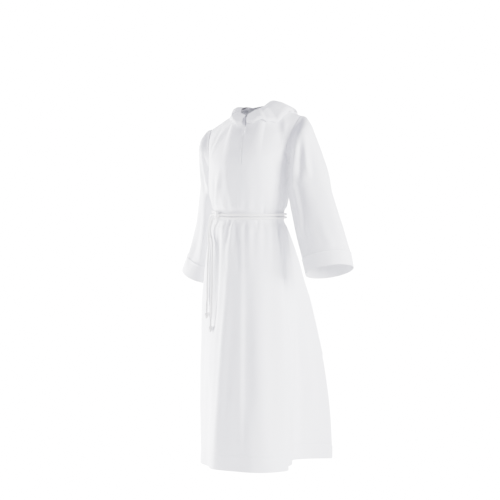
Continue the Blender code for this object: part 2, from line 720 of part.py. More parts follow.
def even_route(rows, step):
    """Points along a smooth curve through table rows, about one step apart."""
    rows = np.array(rows, float)
    dense = [belt_place(*through(rows, place)) for place in np.linspace(0, len(rows) - 1, 1200)]
    dense = np.array(dense)
    lengths = np.concatenate([[0], np.cumsum(np.linalg.norm(np.diff(dense, axis=0), axis=1))])
    marks = np.linspace(0, len(rows) - 1, 1200)
    angles = np.interp(marks, range(len(rows)), rows[:, 0]) % 360
    pace = np.where((angles > 290) & (angles < 330), step * HITCH_PACE, step)
    ticks = np.concatenate([[0], np.cumsum(np.diff(lengths) / pace[1:])])
    count = max(2, round(ticks[-1]))
    wanted = np.interp(np.linspace(0, ticks[-1], count + 1), ticks, lengths)
    return [np.array([np.interp(place, lengths, dense[:, axis]) for axis in range(3)]) for place in wanted]


def build_cincture(tree, finish):
    """The doubled cord round the waist, its two hanging ends and their knots."""
    upper = [tuple(row) for row in UPPER_HALF]
    lower = [(angle, -height, off) for angle, height, off in UPPER_HALF]
    around = [(-125.0 - 30.0 * step, TURN_RISE, 1.0) for step in range(8)]
    upper_loop = upper + around + [(angle - 360, height, off) for angle, height, off in UPPER_END]
    lower_loop = lower + [(angle, -height, off) for angle, height, off in around]
    lower_loop = lower_loop + [(angle - 360, height, off) for angle, height, off in LOWER_END]
    rows = upper_loop[::-1] + lower_loop[1:]
    waist = even_route(rows, ROPE * 3.3)
    cord_curve("cincture_waist", waist, finish)
    ends = ((waist[-1], waist[-2]), (waist[0], waist[1]))
    for (name, top_column, foot_column, length), (start, before) in zip(TAILS, ends):
        heading = unit(start - before)
        top = start + heading * 0.0006
        bend = top + heading * ROPE
        route = [top, bend]
        count = round(length / (ROPE * 2.4))
        for step in range(1, count + 1):
            fall = (length - ROPE) * step / count
            z = bend[2] - fall
            drop = (BELT_Z - z) / (BELT_Z - HEM_Z)
            column = top_column + (foot_column - top_column) * step / count
            surface, normal = body_point(column, -drop), body_normal(column, -drop)
            level = unit([normal[0], normal[1], 0])
            knot_room = (KNOT_RADIUS - ROPE / 2) * smooth((fall - length + 0.06) / 0.05)
            rest = surface + level * (ROPE / 2 + TAIL_CLEAR + knot_room)
            free = bend + heading * fall * 0.5
            share = smooth(fall / 0.05)
            place = free + (rest - free) * share
            place = np.array([place[0], place[1], z])
            for _ in range(4):
                distance = tree.find_nearest(Vector(place))[3]
                place = place + level * max(0.0, ROPE / 2 + TAIL_CLEAR + knot_room - distance)
            route.append(place)
        cord_curve(name, route, finish)
        build_knot(name.replace("end", "knot"), route[-1], finish)


def build_knot(name, above, finish):
    """The knot at the end of a hanging cord with the short end that comes out of it."""
    profile = (
        # down    radius
        (0.0000, 0.0030), (0.0014, 0.0050), (0.0040, KNOT_RADIUS), (0.0066, 0.0053), (0.0088, 0.0054),
        (0.0112, 0.0058), (0.0138, 0.0048), (KNOT_LENGTH, 0.0034), (0.0240, 0.0034), (0.0262, 0.0040),
    )
    mesh = bpy.data.meshes.new(name)
    made = bmesh.new()
    rings = []
    for down, radius in profile:
        ring = []
        for step in range(10):
            turn = 2 * math.pi * step / 10
            place = (above[0] + radius * math.cos(turn), above[1] + radius * math.sin(turn),
                     above[2] - 0.0007 - down)
            ring.append(made.verts.new(place))
        rings.append(ring)
    for high, low in zip(rings, rings[1:]):
        for step in range(10):
            beside = (step + 1) % 10
            made.faces.new((high[step], low[step], low[beside], high[beside]))
    made.faces.new(rings[0])
    made.faces.new(rings[-1][::-1])
    bmesh.ops.recalc_face_normals(made, faces=made.faces)
    made.to_mesh(mesh)
    made.free()
    mesh.shade_smooth()
    return add_object(name, mesh, finish)


# ---- zip -----------------------------------------------------------------------------------
SLIDER_ROW = 6.5            # the slider stands between these rows of the yoke, counted upwards


def between(values, row):
    """Panel values at a fractional yoke row."""
    row = UNDERARM_ROW + row
    low = min(int(row), TOP_ROW - 1)
    return values[low] + (values[low + 1] - values[low]) * (row - low)


def centre_line(front, row):
    """Middle of the zip on the front's outer surface at a fractional yoke row, with its axes."""
    _, points, _, _, _ = front
    line = points[:, CENTRE_COLUMN]
    place = between(line, row)
    side = unit(between(points[:, CENTRE_COLUMN + 1] - points[:, CENTRE_COLUMN - 1], row))
    up = unit(between(line, min(row + 0.2, YOKE_ROWS)) - between(line, row - 0.2))
    out = unit(np.cross(side, up))
    return place, side, np.cross(out, side), out


def beside_zip(front, row, across, behind):
    """A point on the front beside the zip, measured across and then back from the cloth's face."""
    _, points, normals, _, _ = front
    beside = CENTRE_COLUMN + (1 if across > 0 else -1)
    middle, other = between(points[:, CENTRE_COLUMN], row), between(points[:, beside], row)
    share = abs(across) / np.linalg.norm(other - middle)
    start, end = between(normals[:, CENTRE_COLUMN], row), between(normals[:, beside], row)
    return middle + (other - middle) * share - unit(start + (end - start) * share) * behind


def build_zip_strip(name, front, half_width, thick, behind, foot, finish):
    """A strip down the zip in one piece, parted above the slider. behind is from the cloth's face."""
    halves = [row / 2 for row in range(0, 2 * YOKE_ROWS) if row / 2 > foot + 0.2]
    rows = [foot] + halves + [YOKE_ROWS - 0.06]
    outer, inner, quads = {}, {}, []
    for index, row in enumerate(rows):
        room = float(np.interp(row, range(len(SLIT_HALF_WIDTHS)), SLIT_HALF_WIDTHS)) - 0.0005
        apart = row > SLIDER_ROW
        edge = half_width if half_width > 0.004 else (room if apart else min(half_width, room))
        parted = room - 0.0013 if apart else 0.0002
        for column, across in enumerate((-edge, -parted, parted, edge)):
            outer[(index, column)] = beside_zip(front, row, across, behind)
            inner[(index, column)] = beside_zip(front, row, across, behind + thick)
    for index, row in enumerate(rows[:-1]):
        for column in range(3):
            if column == 1 and row >= SLIDER_ROW:
                continue
            quads.append(((index, column), (index, column + 1), (index + 1, column + 1),
                          (index + 1, column)))
    return wall(name, outer, inner, quads, finish)


def block(size, centre):
    """A box as a temporary object."""
    mesh = bpy.data.meshes.new("block")
    made = bmesh.new()
    bmesh.ops.create_cube(made, size=1.0, matrix=Matrix.Translation(centre) @ Matrix.Diagonal((*size, 1)))
    made.to_mesh(mesh)
    made.free()
    return bpy.data.objects.new("block", mesh)


def bar(radius, length, centre, sides=16):
    """A round bar across the zip as a temporary object."""
    mesh = bpy.data.meshes.new("bar")
    made = bmesh.new()
    turn = Matrix.Translation(centre) @ Matrix.Rotation(math.radians(90), 4, "Y")
    bmesh.ops.create_cone(made, cap_ends=True, segments=sides, radius1=radius, radius2=radius,
                          depth=length, matrix=turn)
    made.to_mesh(mesh)
    made.free()
    return bpy.data.objects.new("bar", mesh)


def joined(name, added, removed, frame, finish):
    """Fuse temporary pieces, cut others out of them and put the result at a local frame."""
    origin, side, up, out = frame
    base = added[0]
    for piece in added + removed:
        bpy.context.scene.collection.objects.link(piece)
    for piece in added[1:] + removed:
        change = base.modifiers.new("fuse", "BOOLEAN")
        change.object = piece
        change.operation = "DIFFERENCE" if piece in removed else "UNION"
        change.solver = "EXACT"
    graph = bpy.context.evaluated_depsgraph_get()
    mesh = bpy.data.meshes.new_from_object(base.evaluated_get(graph))
    for piece in added + removed:
        bpy.data.objects.remove(piece, do_unlink=True)
    turn = Matrix((-side, out, up)).transposed().to_4x4()
    mesh.transform(turn)
    mesh.materials.clear()
    mesh.name = name
    made = add_object(name, mesh, finish)
    made.location = Vector(origin)
    return made


def build_slider(front, finish):
    """The slider's face with the two lugs and the pin that carry its pull."""
    place, side, up, out = centre_line(front, SLIDER_ROW)
    pieces = [
        block((0.0070, 0.0014, 0.0105), (0, 0.0011, 0)),
        block((0.0011, 0.0036, 0.0028), (-0.0022, 0.0030, 0)),
        block((0.0011, 0.0036, 0.0028), (0.0022, 0.0030, 0)),
        bar(PIN_RADIUS, 0.0046, (0, PIN_OUT, 0)),
    ]
    joined("zip_slider", pieces, [], (place, side, up, out), finish)


def build_pull(front, finish):
    """The pull, hanging from the slider's pin. Its origin is on the pin's axis."""
    place, side, up, out = centre_line(front, SLIDER_ROW)
    pieces = [
        bar(0.0019, 0.0023, (0, 0, 0)),
        block((0.0020, 0.0012, 0.0040), (0, 0, -0.0034)),
        block((0.0050, 0.0011, PULL_LENGTH - 0.0045), (0, 0, -0.0045 - (PULL_LENGTH - 0.0045) / 2)),
    ]
    holes = [bar(PIN_RADIUS + 0.00035, 0.0050, (0, 0, 0))]
    return joined("zip_pull", pieces, holes, (place + out * PIN_OUT, side, up, out), finish)


# ---- the whole robe ------------------------------------------------------------------------
for old in list(bpy.data.objects):
    bpy.data.objects.remove(old, do_unlink=True)

WHITE_CLOTH = material("white_polyester_cotton", (0.87, 0.87, 0.88), 0.85)

front_panel = build_panel("front", 0, LEFT_SEAM * COLUMNS_PER_FOLD, WHITE_CLOTH)
back_panel = build_panel("back", LEFT_SEAM * COLUMNS_PER_FOLD, len(FOLDS) * COLUMNS_PER_FOLD, WHITE_CLOTH)
build_sleeve("sleeve_left", 1, SLEEVE_LEFT, front_panel, back_panel, WHITE_CLOTH)
build_sleeve("sleeve_right", -1, SLEEVE_RIGHT, front_panel, back_panel, WHITE_CLOTH)
build_hood("hood", front_panel, back_panel, WHITE_CLOTH)

WHITE_CORD = material("white_braided_cord", (0.90, 0.90, 0.88), 0.8)
build_cincture(grid_tree(front_panel[1], back_panel[1]), WHITE_CORD)

WHITE_TAPE = material("white_zip_tape", (0.85, 0.85, 0.85), 0.8)
WHITE_NYLON = material("white_nylon_zip", (0.83, 0.83, 0.84), 0.4)
build_zip_strip("zip_tape", front_panel, TAPE_HALF_WIDTH, TAPE, CLOTH + 0.0005, -0.30, WHITE_TAPE)
build_zip_strip("zip_chain", front_panel, CHAIN_HALF_WIDTH, CHAIN, 0.0002, 0.45, WHITE_NYLON)
build_slider(front_panel, WHITE_NYLON)
build_pull(front_panel, WHITE_NYLON)
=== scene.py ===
"""Dressed model of a child's white hooded alb with a neck zip and a rope cincture.

Metres. +Z is up, the front faces -Y and +X is the wearer's left. The origin is the base of
the neck. Columns count the skirt's folds round the body; heights run -1 hem, 0 cincture,
1 underarms, 2 shoulders.
"""

import functools
import math

import bmesh
import bpy
import numpy as np
from bpy.props import FloatProperty, FloatVectorProperty, PointerProperty
from mathutils import Matrix, Vector, noise
from mathutils.bvhtree import BVHTree


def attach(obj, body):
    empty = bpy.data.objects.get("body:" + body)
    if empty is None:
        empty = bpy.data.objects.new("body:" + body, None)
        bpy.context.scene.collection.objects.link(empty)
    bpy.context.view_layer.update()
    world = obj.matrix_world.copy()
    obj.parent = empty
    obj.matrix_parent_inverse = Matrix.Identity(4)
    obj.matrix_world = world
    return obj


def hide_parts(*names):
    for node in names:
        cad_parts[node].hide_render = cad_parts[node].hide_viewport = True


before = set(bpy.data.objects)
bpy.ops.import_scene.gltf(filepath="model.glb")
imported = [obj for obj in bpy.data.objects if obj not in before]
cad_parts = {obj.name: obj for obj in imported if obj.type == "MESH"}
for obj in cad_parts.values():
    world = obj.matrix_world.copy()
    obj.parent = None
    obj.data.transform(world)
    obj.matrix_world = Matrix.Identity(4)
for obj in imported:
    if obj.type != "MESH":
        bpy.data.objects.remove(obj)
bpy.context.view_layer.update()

bl_info = {
    "name": "Hooded alb",
    "version": (1, 0, 0),
    "blender": (4, 5, 0),
    "location": "View3D > Sidebar > Alb",
    "description": "Builds a child's hooded alb with its zip and rope cincture",
    "category": "Object",
}

BODY = "robe"

# ---- sizes of the robe, as in its solids -----------------------------------------------------
UNDERARM_Z = -0.135
BELT_Z = -0.288
GROOVE_DROP = 0.017
HEM_Z = -1.053
SHOULDER_TILT = 0.13
SHOULDER = np.array([0.155, 0.012, -0.004])
SEAM_GAP = 0.00018
SLEEVE_GAP = 0.0005
SLEEVE_HEAD = 0.006
NECK_HALF_WIDTH = 0.056
NECK_SHIFT = 0.008
NECK_FRONT, NECK_BACK = -0.066, 0.046
NECK_Z_FRONT, NECK_Z_SIDE, NECK_Z_BACK = 0.012, 0.038, 0.046
SIDE_Y = -0.024
YOKE_REACH = 0.107
ROPE = 0.0068
TURN_RISE = 0.0049
BELT_CLEAR = 0.0014
RIGHT_SEAM, CENTRE_FRONT, LEFT_SEAM = 0, 4, 9
FRONT_NECK = (8 / 3, 16 / 3)
BACK_NECK = (41 / 3, 52 / 3)

FOLDS = (
    # name            belt_angle  hem_x   hem_y   flare
    ("right_seam",        -90, -0.160, -0.010, 3.6),
    ("right_crest",       -66, -0.152, -0.068, 4.4),
    ("right_hollow",      -40, -0.104, -0.112, 2.2),
    ("front_ridge",       -13, -0.058, -0.162, 1.7),
    ("centre_crease",       8,  0.026, -0.168, 1.5),
    ("front_flat",         30,  0.080, -0.165, 1.4),
    ("left_flat",          52,  0.124, -0.138, 1.5),
    ("left_front_crest",   72,  0.154, -0.080, 1.7),
    ("left_hollow",        83,  0.122, -0.028, 1.2),
    ("left_seam_ridge",    92,  0.116,  0.026, 1.2),
    ("left_deep_valley",  102,  0.082,  0.104, 0.9),
    ("rear_left_turn",    113,  0.108,  0.150, 1.4),
    ("rear_left_crest",   127,  0.174,  0.196, 1.9),
    ("rear_valley_1",     143,  0.098,  0.184, 1.3),
    ("rear_crest_1",      157,  0.082,  0.240, 1.6),
    ("rear_valley_2",     170,  0.038,  0.168, 1.2),
    ("rear_crest_2",      184, -0.008,  0.238, 1.6),
    ("rear_valley_3",     198, -0.046,  0.154, 1.2),
    ("rear_crest_3",      213, -0.108,  0.206, 1.7),
    ("rear_valley_4",     228, -0.102,  0.116, 1.2),
    ("rear_crest_4",      242, -0.176,  0.098, 1.8),
    ("rear_valley_5",     256, -0.132,  0.042, 1.3),
)
TORSO = (
    # name        z        half_width  front    back    squareness  shift_x
    ("belt",     BELT_Z,      0.1120, -0.1140, 0.0600, 2.0, -0.0045),
    ("groove",   -0.2745,     0.1125, -0.1145, 0.0605, 2.0, -0.0045),
    ("roll",     -0.256,      0.1200, -0.1225, 0.0685, 2.0, -0.0040),
    ("ribs",     -0.222,      0.1240, -0.1275, 0.0740, 2.1, -0.0020),
    ("chest",    -0.178,      0.1245, -0.1310, 0.0790, 2.2, -0.0005),
    ("underarm", UNDERARM_Z,  0.1245, -0.1310, 0.0820, 2.2,  0.0000),
)
SLEEVE_LEFT = (
    # name      inner_x inner_z outer_x outer_z   y       depth  rear_drop
    ("cap",       0.1345, -0.1360, 0.1910, -0.0130, -0.006, 0.052, 0.000),
    ("deltoid",   0.1350, -0.1560, 0.2090, -0.0620, -0.010, 0.054, 0.002),
    ("upper",     0.1350, -0.1800, 0.2280, -0.1100, -0.016, 0.055, 0.004),
    ("bicep",     0.1350, -0.2120, 0.2470, -0.1520, -0.022, 0.055, 0.006),
    ("elbow_1",   0.1380, -0.2480, 0.2660, -0.2000, -0.027, 0.055, 0.009),
    ("elbow_2",   0.1490, -0.2940, 0.2860, -0.2520, -0.031, 0.055, 0.012),
    ("forearm",   0.1630, -0.3420, 0.3070, -0.3060, -0.036, 0.055, 0.014),
    ("wrist",     0.1800, -0.3940, 0.3280, -0.3620, -0.042, 0.055, 0.016),
    ("band",      0.1890, -0.4220, 0.3380, -0.3880, -0.045, 0.055, 0.017),
    ("cuff",      0.2030, -0.4680, 0.3500, -0.4320, -0.050, 0.055, 0.018),
)
SLEEVE_RIGHT = (
    # name       inner_x  inner_z  outer_x  outer_z  y      depth  rear_drop
    ("cap",      -0.1345, -0.1680, -0.1820, -0.0560, 0.010, 0.051, 0.000),
    ("deltoid",  -0.1350, -0.1860, -0.1900, -0.1060, 0.024, 0.051, 0.001),
    ("upper",    -0.1350, -0.2120, -0.1980, -0.1520, 0.037, 0.050, 0.002),
    ("bicep",    -0.1355, -0.2440, -0.2060, -0.1960, 0.048, 0.050, 0.002),
    ("elbow_1",  -0.1370, -0.2800, -0.2140, -0.2400, 0.056, 0.051, 0.000),
    ("elbow_2",  -0.1400, -0.3220, -0.2220, -0.2860, 0.062, 0.052, -0.002),
    ("forearm",  -0.1460, -0.3680, -0.2320, -0.3340, 0.065, 0.053, -0.006),
    ("wrist",    -0.1530, -0.4200, -0.2480, -0.3840, 0.066, 0.054, -0.010),
    ("band",     -0.1570, -0.4480, -0.2600, -0.4100, 0.066, 0.055, -0.012),
    ("cuff",     -0.1640, -0.5000, -0.2800, -0.4580, 0.065, 0.056, -0.015),
)
SLEEVE_HOLLOWS = (
    # centre  width  depth   first  last
    (52,      26,    0.007,  0.3,   4.6),
    (112,     24,    0.006,  2.4,   6.2),
    (236,     30,    0.007,  1.0,   6.0),
    (300,     28,    0.005,  2.5,   8.0),
)
HOOD = (
    # neck_angle  fold_x  fold_y   fold_z   edge_x  edge_y  edge_z  gape
    (5,           0.0090, -0.0770,  0.0050, 0.0048, -0.0675, 0.0180, 0.0068),
    (28,          0.0340, -0.0760,  0.0120, 0.0200, -0.0570, 0.0250, 0.0086),
    (54,          0.0690, -0.0540,  0.0150, 0.0370, -0.0370, 0.0330, 0.0098),
    (86,          0.1020, -0.0060,  0.0120, 0.0480, -0.0060, 0.0490, 0.0110),
    (118,         0.1080,  0.0440, -0.0040, 0.0460,  0.0360, 0.0520, 0.0150),
    (148,         0.0800,  0.0860, -0.0900, 0.0330,  0.0780, 0.0420, 0.0200),
    (180,         0.0000,  0.0920, -0.1680, 0.0000,  0.0980, 0.0320, 0.0260),
)
HOOD_TILT = 0.20
HOOD_NARROW = 0.30
HOOD_CLEAR = 0.0026         # the hood's lower sheet above the robe, where it is laid
HOOD_LEAST_CLEAR = 0.0019   # the same, once it is drawn finely
HOOD_LAYER_GAP = 0.0048     # between the outer faces of its two sheets
UPPER_HALF = (
    # angle   height   off
    (-33.0,   0.0000, 3.25),
    (-33.5,   0.0062, 3.10),
    (-36.5,   0.0108, 2.30),
    (-42.0,   0.0117, 1.25),
    (-50.0,   0.0116, 1.00),
    (-62.0,   0.0112, 1.00),
    (-78.0,   0.0094, 1.00),
    (-96.0,   0.0070, 1.00),
)
UPPER_END = (
    (-10.0,   0.0049, 1.00),
    (-33.0,   0.0042, 1.00),
    (-41.0,   0.0037, 1.05),
    (-47.0,   0.0036, 1.15),
    (-53.0,   0.0030, 1.70),
    (-57.5,   0.0000, 2.75),
    (-61.0,  -0.0065, 3.35),
    (-63.0,  -0.0145, 3.50),
    (-64.0,  -0.0230, 3.80),
    (-64.5,  -0.0310, 4.20),
)
LOWER_END = (
    (-10.0,  -0.0049, 1.00),
    (-33.0,  -0.0042, 1.00),
    (-39.0,  -0.0038, 1.20),
    (-44.0,  -0.0046, 2.20),
    (-48.0,  -0.0090, 3.30),
    (-50.5,  -0.0160, 3.45),
    (-51.5,  -0.0240, 3.70),
    (-52.0,  -0.0320, 4.10),
)

# ---- how finely the cloth is drawn -----------------------------------------------------------
FINE = 12                   # columns for each fold of the skirt
TORSO_ROWS = 34
YOKE_ROWS = 48
HEM_STITCH = 0.0464         # the hem's stitches, up from its edge
HEM_TOP = 0.0476            # the top of its turned-up cloth
TURNED_UP = 1.9             # thickness of a hem or cuff, in thicknesses of cloth
HOOD_EDGE_TURNED = 1.7      # the same for the hood's narrow edge
HEM_FROM_EDGE = (0.0, 0.0012, 0.004, 0.010, 0.018, 0.027, 0.036, 0.042, 0.0450, HEM_STITCH, 0.0472, 0.0480,
                 0.0488, 0.0500, 0.0530, 0.0590, 0.0670)
CUFF_BAND = len(SLEEVE_LEFT) + 0.05     # the cuff's stitches, in rings from the armhole


# ---- small helpers -------------------------------------------------------------------------
def unit(vector):
    """A vector or an array of vectors at length one."""
    vector = np.asarray(vector, float)
    length = np.linalg.norm(vector, axis=-1, keepdims=True)
    return vector / np.maximum(length, 1e-12)


def smooth(value):
    """Ease from 0 to 1, held outside that range."""
    value = min(max(value, 0.0), 1.0)
    return value * value * (3 - 2 * value)


def through(values, place, closed=False):
    """A smooth curve through evenly counted values, read at a fractional place."""
    values = np.asarray(values, float)
    count = len(values)
    last = count if closed else count - 1
    first = int(math.floor(place)) if closed else min(int(math.floor(place)), last - 1)
    part = place - first
    picks = [first - 1, first, first + 1, first + 2]
    if closed:
        a, b, c, d = (values[index % count] for index in picks)
    else:
        b, c = values[picks[1]], values[picks[2]]
        a = values[picks[0]] if picks[0] >= 0 else 2 * b - c
        d = values[picks[3]] if picks[3] < count else 2 * c - b
    return b + 0.5 * part * (c - a + part * (2 * a - 5 * b + 4 * c - d + part * (3 * (b - c) + d - a)))


def bezier(a, b, c, d, part):
    """A point on the cubic curve from a to d that leaves towards b and arrives from c."""
    rest = 1 - part
    return rest ** 3 * a + 3 * rest * rest * part * b + 3 * rest * part * part * c + part ** 3 * d


def linear(code):
    """An sRGB hex colour as the linear colour that shaders take."""
    values = [int(code[index:index + 2], 16) / 255 for index in (0, 2, 4)]
    return tuple(v / 12.92 if v <= 0.04045 else ((v + 0.055) / 1.055) ** 2.4 for v in values)


def link_piece(name, mesh, finish):
    """A smooth mesh with its finish as a piece of the scene."""
    mesh.shade_smooth()
    mesh.materials.append(finish)
    made = bpy.data.objects.new(name, mesh)
    bpy.context.scene.collection.objects.link(made)
    return made


def face_outwards(mesh):
    """Turn a closed mesh's faces outwards."""
    work = bmesh.new()
    work.from_mesh(mesh)
    bmesh.ops.recalc_face_normals(work, faces=work.faces)
    work.to_mesh(mesh)
    work.free()


def lengths_along(path):
    """How far along a path each of its points lies."""
    return np.concatenate([[0], np.cumsum(np.linalg.norm(np.diff(path, axis=0), axis=1))])


def at_lengths(path, lengths, wanted):
    """The point or points of a path at wanted lengths along it."""
    return np.stack([np.interp(wanted, lengths, path[:, axis]) for axis in range(3)], axis=-1)


# ---- the body's surface, as in the solids ----------------------------------------------------
BELT_ANGLES = np.array([row[1] for row in FOLDS] + [270.0])
BELT_STEPS = np.concatenate([[BELT_ANGLES[-2] - 360], BELT_ANGLES, [BELT_ANGLES[1] + 360]])
HEM_X = [row[2] for row in FOLDS]
HEM_Y = [row[3] for row in FOLDS]
FLARE = [row[4] for row in FOLDS]


@functools.lru_cache(maxsize=None)
def belt_angle(column):
    """Angle of a column at the belt in radians, from centre front towards the left."""
    turns, column = divmod(column, len(FOLDS))
    return math.radians(through(BELT_STEPS, column + 1) + 360 * turns)


def ring_point(column, half_width, front, back, squareness, shift_x):
    """A point of a level ring of the body: half ellipses before and behind the side seams."""
    angle = belt_angle(column)
    across, along = math.sin(angle), math.cos(angle)
    power = 2 / squareness
    x = half_width * math.copysign(abs(across) ** power, across)
    depth = SIDE_Y - front if along > 0 else back - SIDE_Y
    return np.array([x + shift_x, SIDE_Y - depth * math.copysign(abs(along) ** power, along)])


def gather(column):
    """Uneven small gathers where the cord draws the cloth in."""
    wave = math.cos(3 * math.pi * column)
    return 0.0019 * wave * (1 + 0.45 * math.sin(1.9 * column + 0.7))


@functools.lru_cache(maxsize=None)
def hem_values(column):
    """Where a column meets the hem, and how soon it swings out."""
    return tuple(through(values, column, True) for values in (HEM_X, HEM_Y, FLARE))


def skirt_point(column, drop):
    """A point of the skirt: drop is 0 at the belt and 1 at the hem."""
    belt = ring_point(column, *TORSO[0][2:])
    hem_x, hem_y, flare = hem_values(column)
    swing = max(drop - GROOVE_DROP, 0.0) / (1 - GROOVE_DROP)
    level = belt + (np.array([hem_x, hem_y]) - belt) * (1 - (1 - swing) ** flare)
    outward = unit(belt - np.array([0.0, SIDE_Y]))
    puff = 0.0045 * smooth(swing / 0.035) * (1 - smooth(swing / 0.5))
    level = level + outward * (puff + gather(column) * smooth(swing / 0.03) * (1 - smooth(swing / 0.22)))
    return np.array([*level, BELT_Z + (HEM_Z - BELT_Z) * drop])


@functools.lru_cache(maxsize=None)
def torso_sizes(rise):
    """Level and ring sizes of the torso at a rise from the belt to the underarms."""
    place = rise * (len(TORSO) - 1)
    return tuple(through([row[index] for row in TORSO], place) for index in range(1, 7))


def torso_point(column, rise):
    """A point between the belt, at rise 0, and the underarms, at rise 1."""
    z, *sizes = torso_sizes(rise)
    level = ring_point(column, *sizes)
    outward = unit(level - np.array([0.0, SIDE_Y]))
    level = level + outward * gather(column) * smooth((rise - 0.2) / 0.2) * (1 - smooth(rise / 0.8))
    return np.array([*level, z])


def neck_point(angle):
    """A point of the neckline at an angle in degrees from the front towards the left."""
    across, along = math.sin(math.radians(angle)), math.cos(math.radians(angle))
    depth = -NECK_FRONT if along > 0 else NECK_BACK
    end_z = NECK_Z_FRONT if along > 0 else NECK_Z_BACK
    z = NECK_Z_SIDE + (end_z - NECK_Z_SIDE) * abs(along) ** 1.4
    return np.array([NECK_SHIFT + NECK_HALF_WIDTH * across, -depth * along, z])


def top_point(column):
    """Where a column ends, and how squarely it meets the neckline there: 0 on a shoulder seam."""
    front = column <= LEFT_SEAM
    first, last = (RIGHT_SEAM, LEFT_SEAM) if front else (LEFT_SEAM, len(FOLDS))
    neck = FRONT_NECK if front else BACK_NECK
    sides = (-1, 1) if front else (1, -1)
    if neck[0] <= column <= neck[1]:
        if not front:
            angle = 90 + 180 * (column - neck[0]) / (neck[1] - neck[0])
        elif column < CENTRE_FRONT:
            angle = -90 * (CENTRE_FRONT - column) / (CENTRE_FRONT - neck[0])
        else:
            angle = 90 * (column - CENTRE_FRONT) / (neck[1] - CENTRE_FRONT)
        return neck_point(angle), math.cos(math.radians(angle)) ** 2
    if column < neck[0]:
        share, side = (neck[0] - column) / (neck[0] - first), sides[0]
    else:
        share, side = (column - neck[1]) / (last - neck[1]), sides[1]
    inner = neck_point(90 * side)
    outer = SHOULDER * np.array([side, 1, 1])
    return inner + (outer - inner) * share, 0.0


def yoke_point(column, rise):
    """A point above the underarms: rise is 0 at their level and 1 on the shoulder or neckline."""
    front = column <= LEFT_SEAM
    facing = -1 if front else 1
    base = torso_point(column, 1.0)
    top, at_neck = top_point(column)
    edge = max(0.0, 1 - abs(base[1] - SIDE_Y) / YOKE_REACH) ** 1.7
    side = math.copysign(1, base[0])
    leave = np.array([0, 0, 0.062]) * (1 - edge) + np.array([0.003 * side, 0.046 * facing, 0.030]) * edge
    on_shoulder = np.array([-0.010 * side * edge, 0.048 * facing, -0.014 - 0.020 * edge])
    on_neck = np.array([0, 0.020 * facing, -0.046])
    arrive = on_neck * at_neck + on_shoulder * (1 - at_neck)
    return bezier(base, base + leave, top + arrive, top, rise)


def body_point(column, height):
    """The robe's outer surface, with the left shoulder lifted and the right one lowered."""
    if height <= 0:
        point = skirt_point(column, -height)
    elif height <= 1:
        point = torso_point(column, height)
    else:
        point = yoke_point(column, height - 1)
    share = smooth((point[2] - BELT_Z) / (UNDERARM_Z + 0.03 - BELT_Z))
    return np.array([point[0], point[1], point[2] + SHOULDER_TILT * point[0] * share])


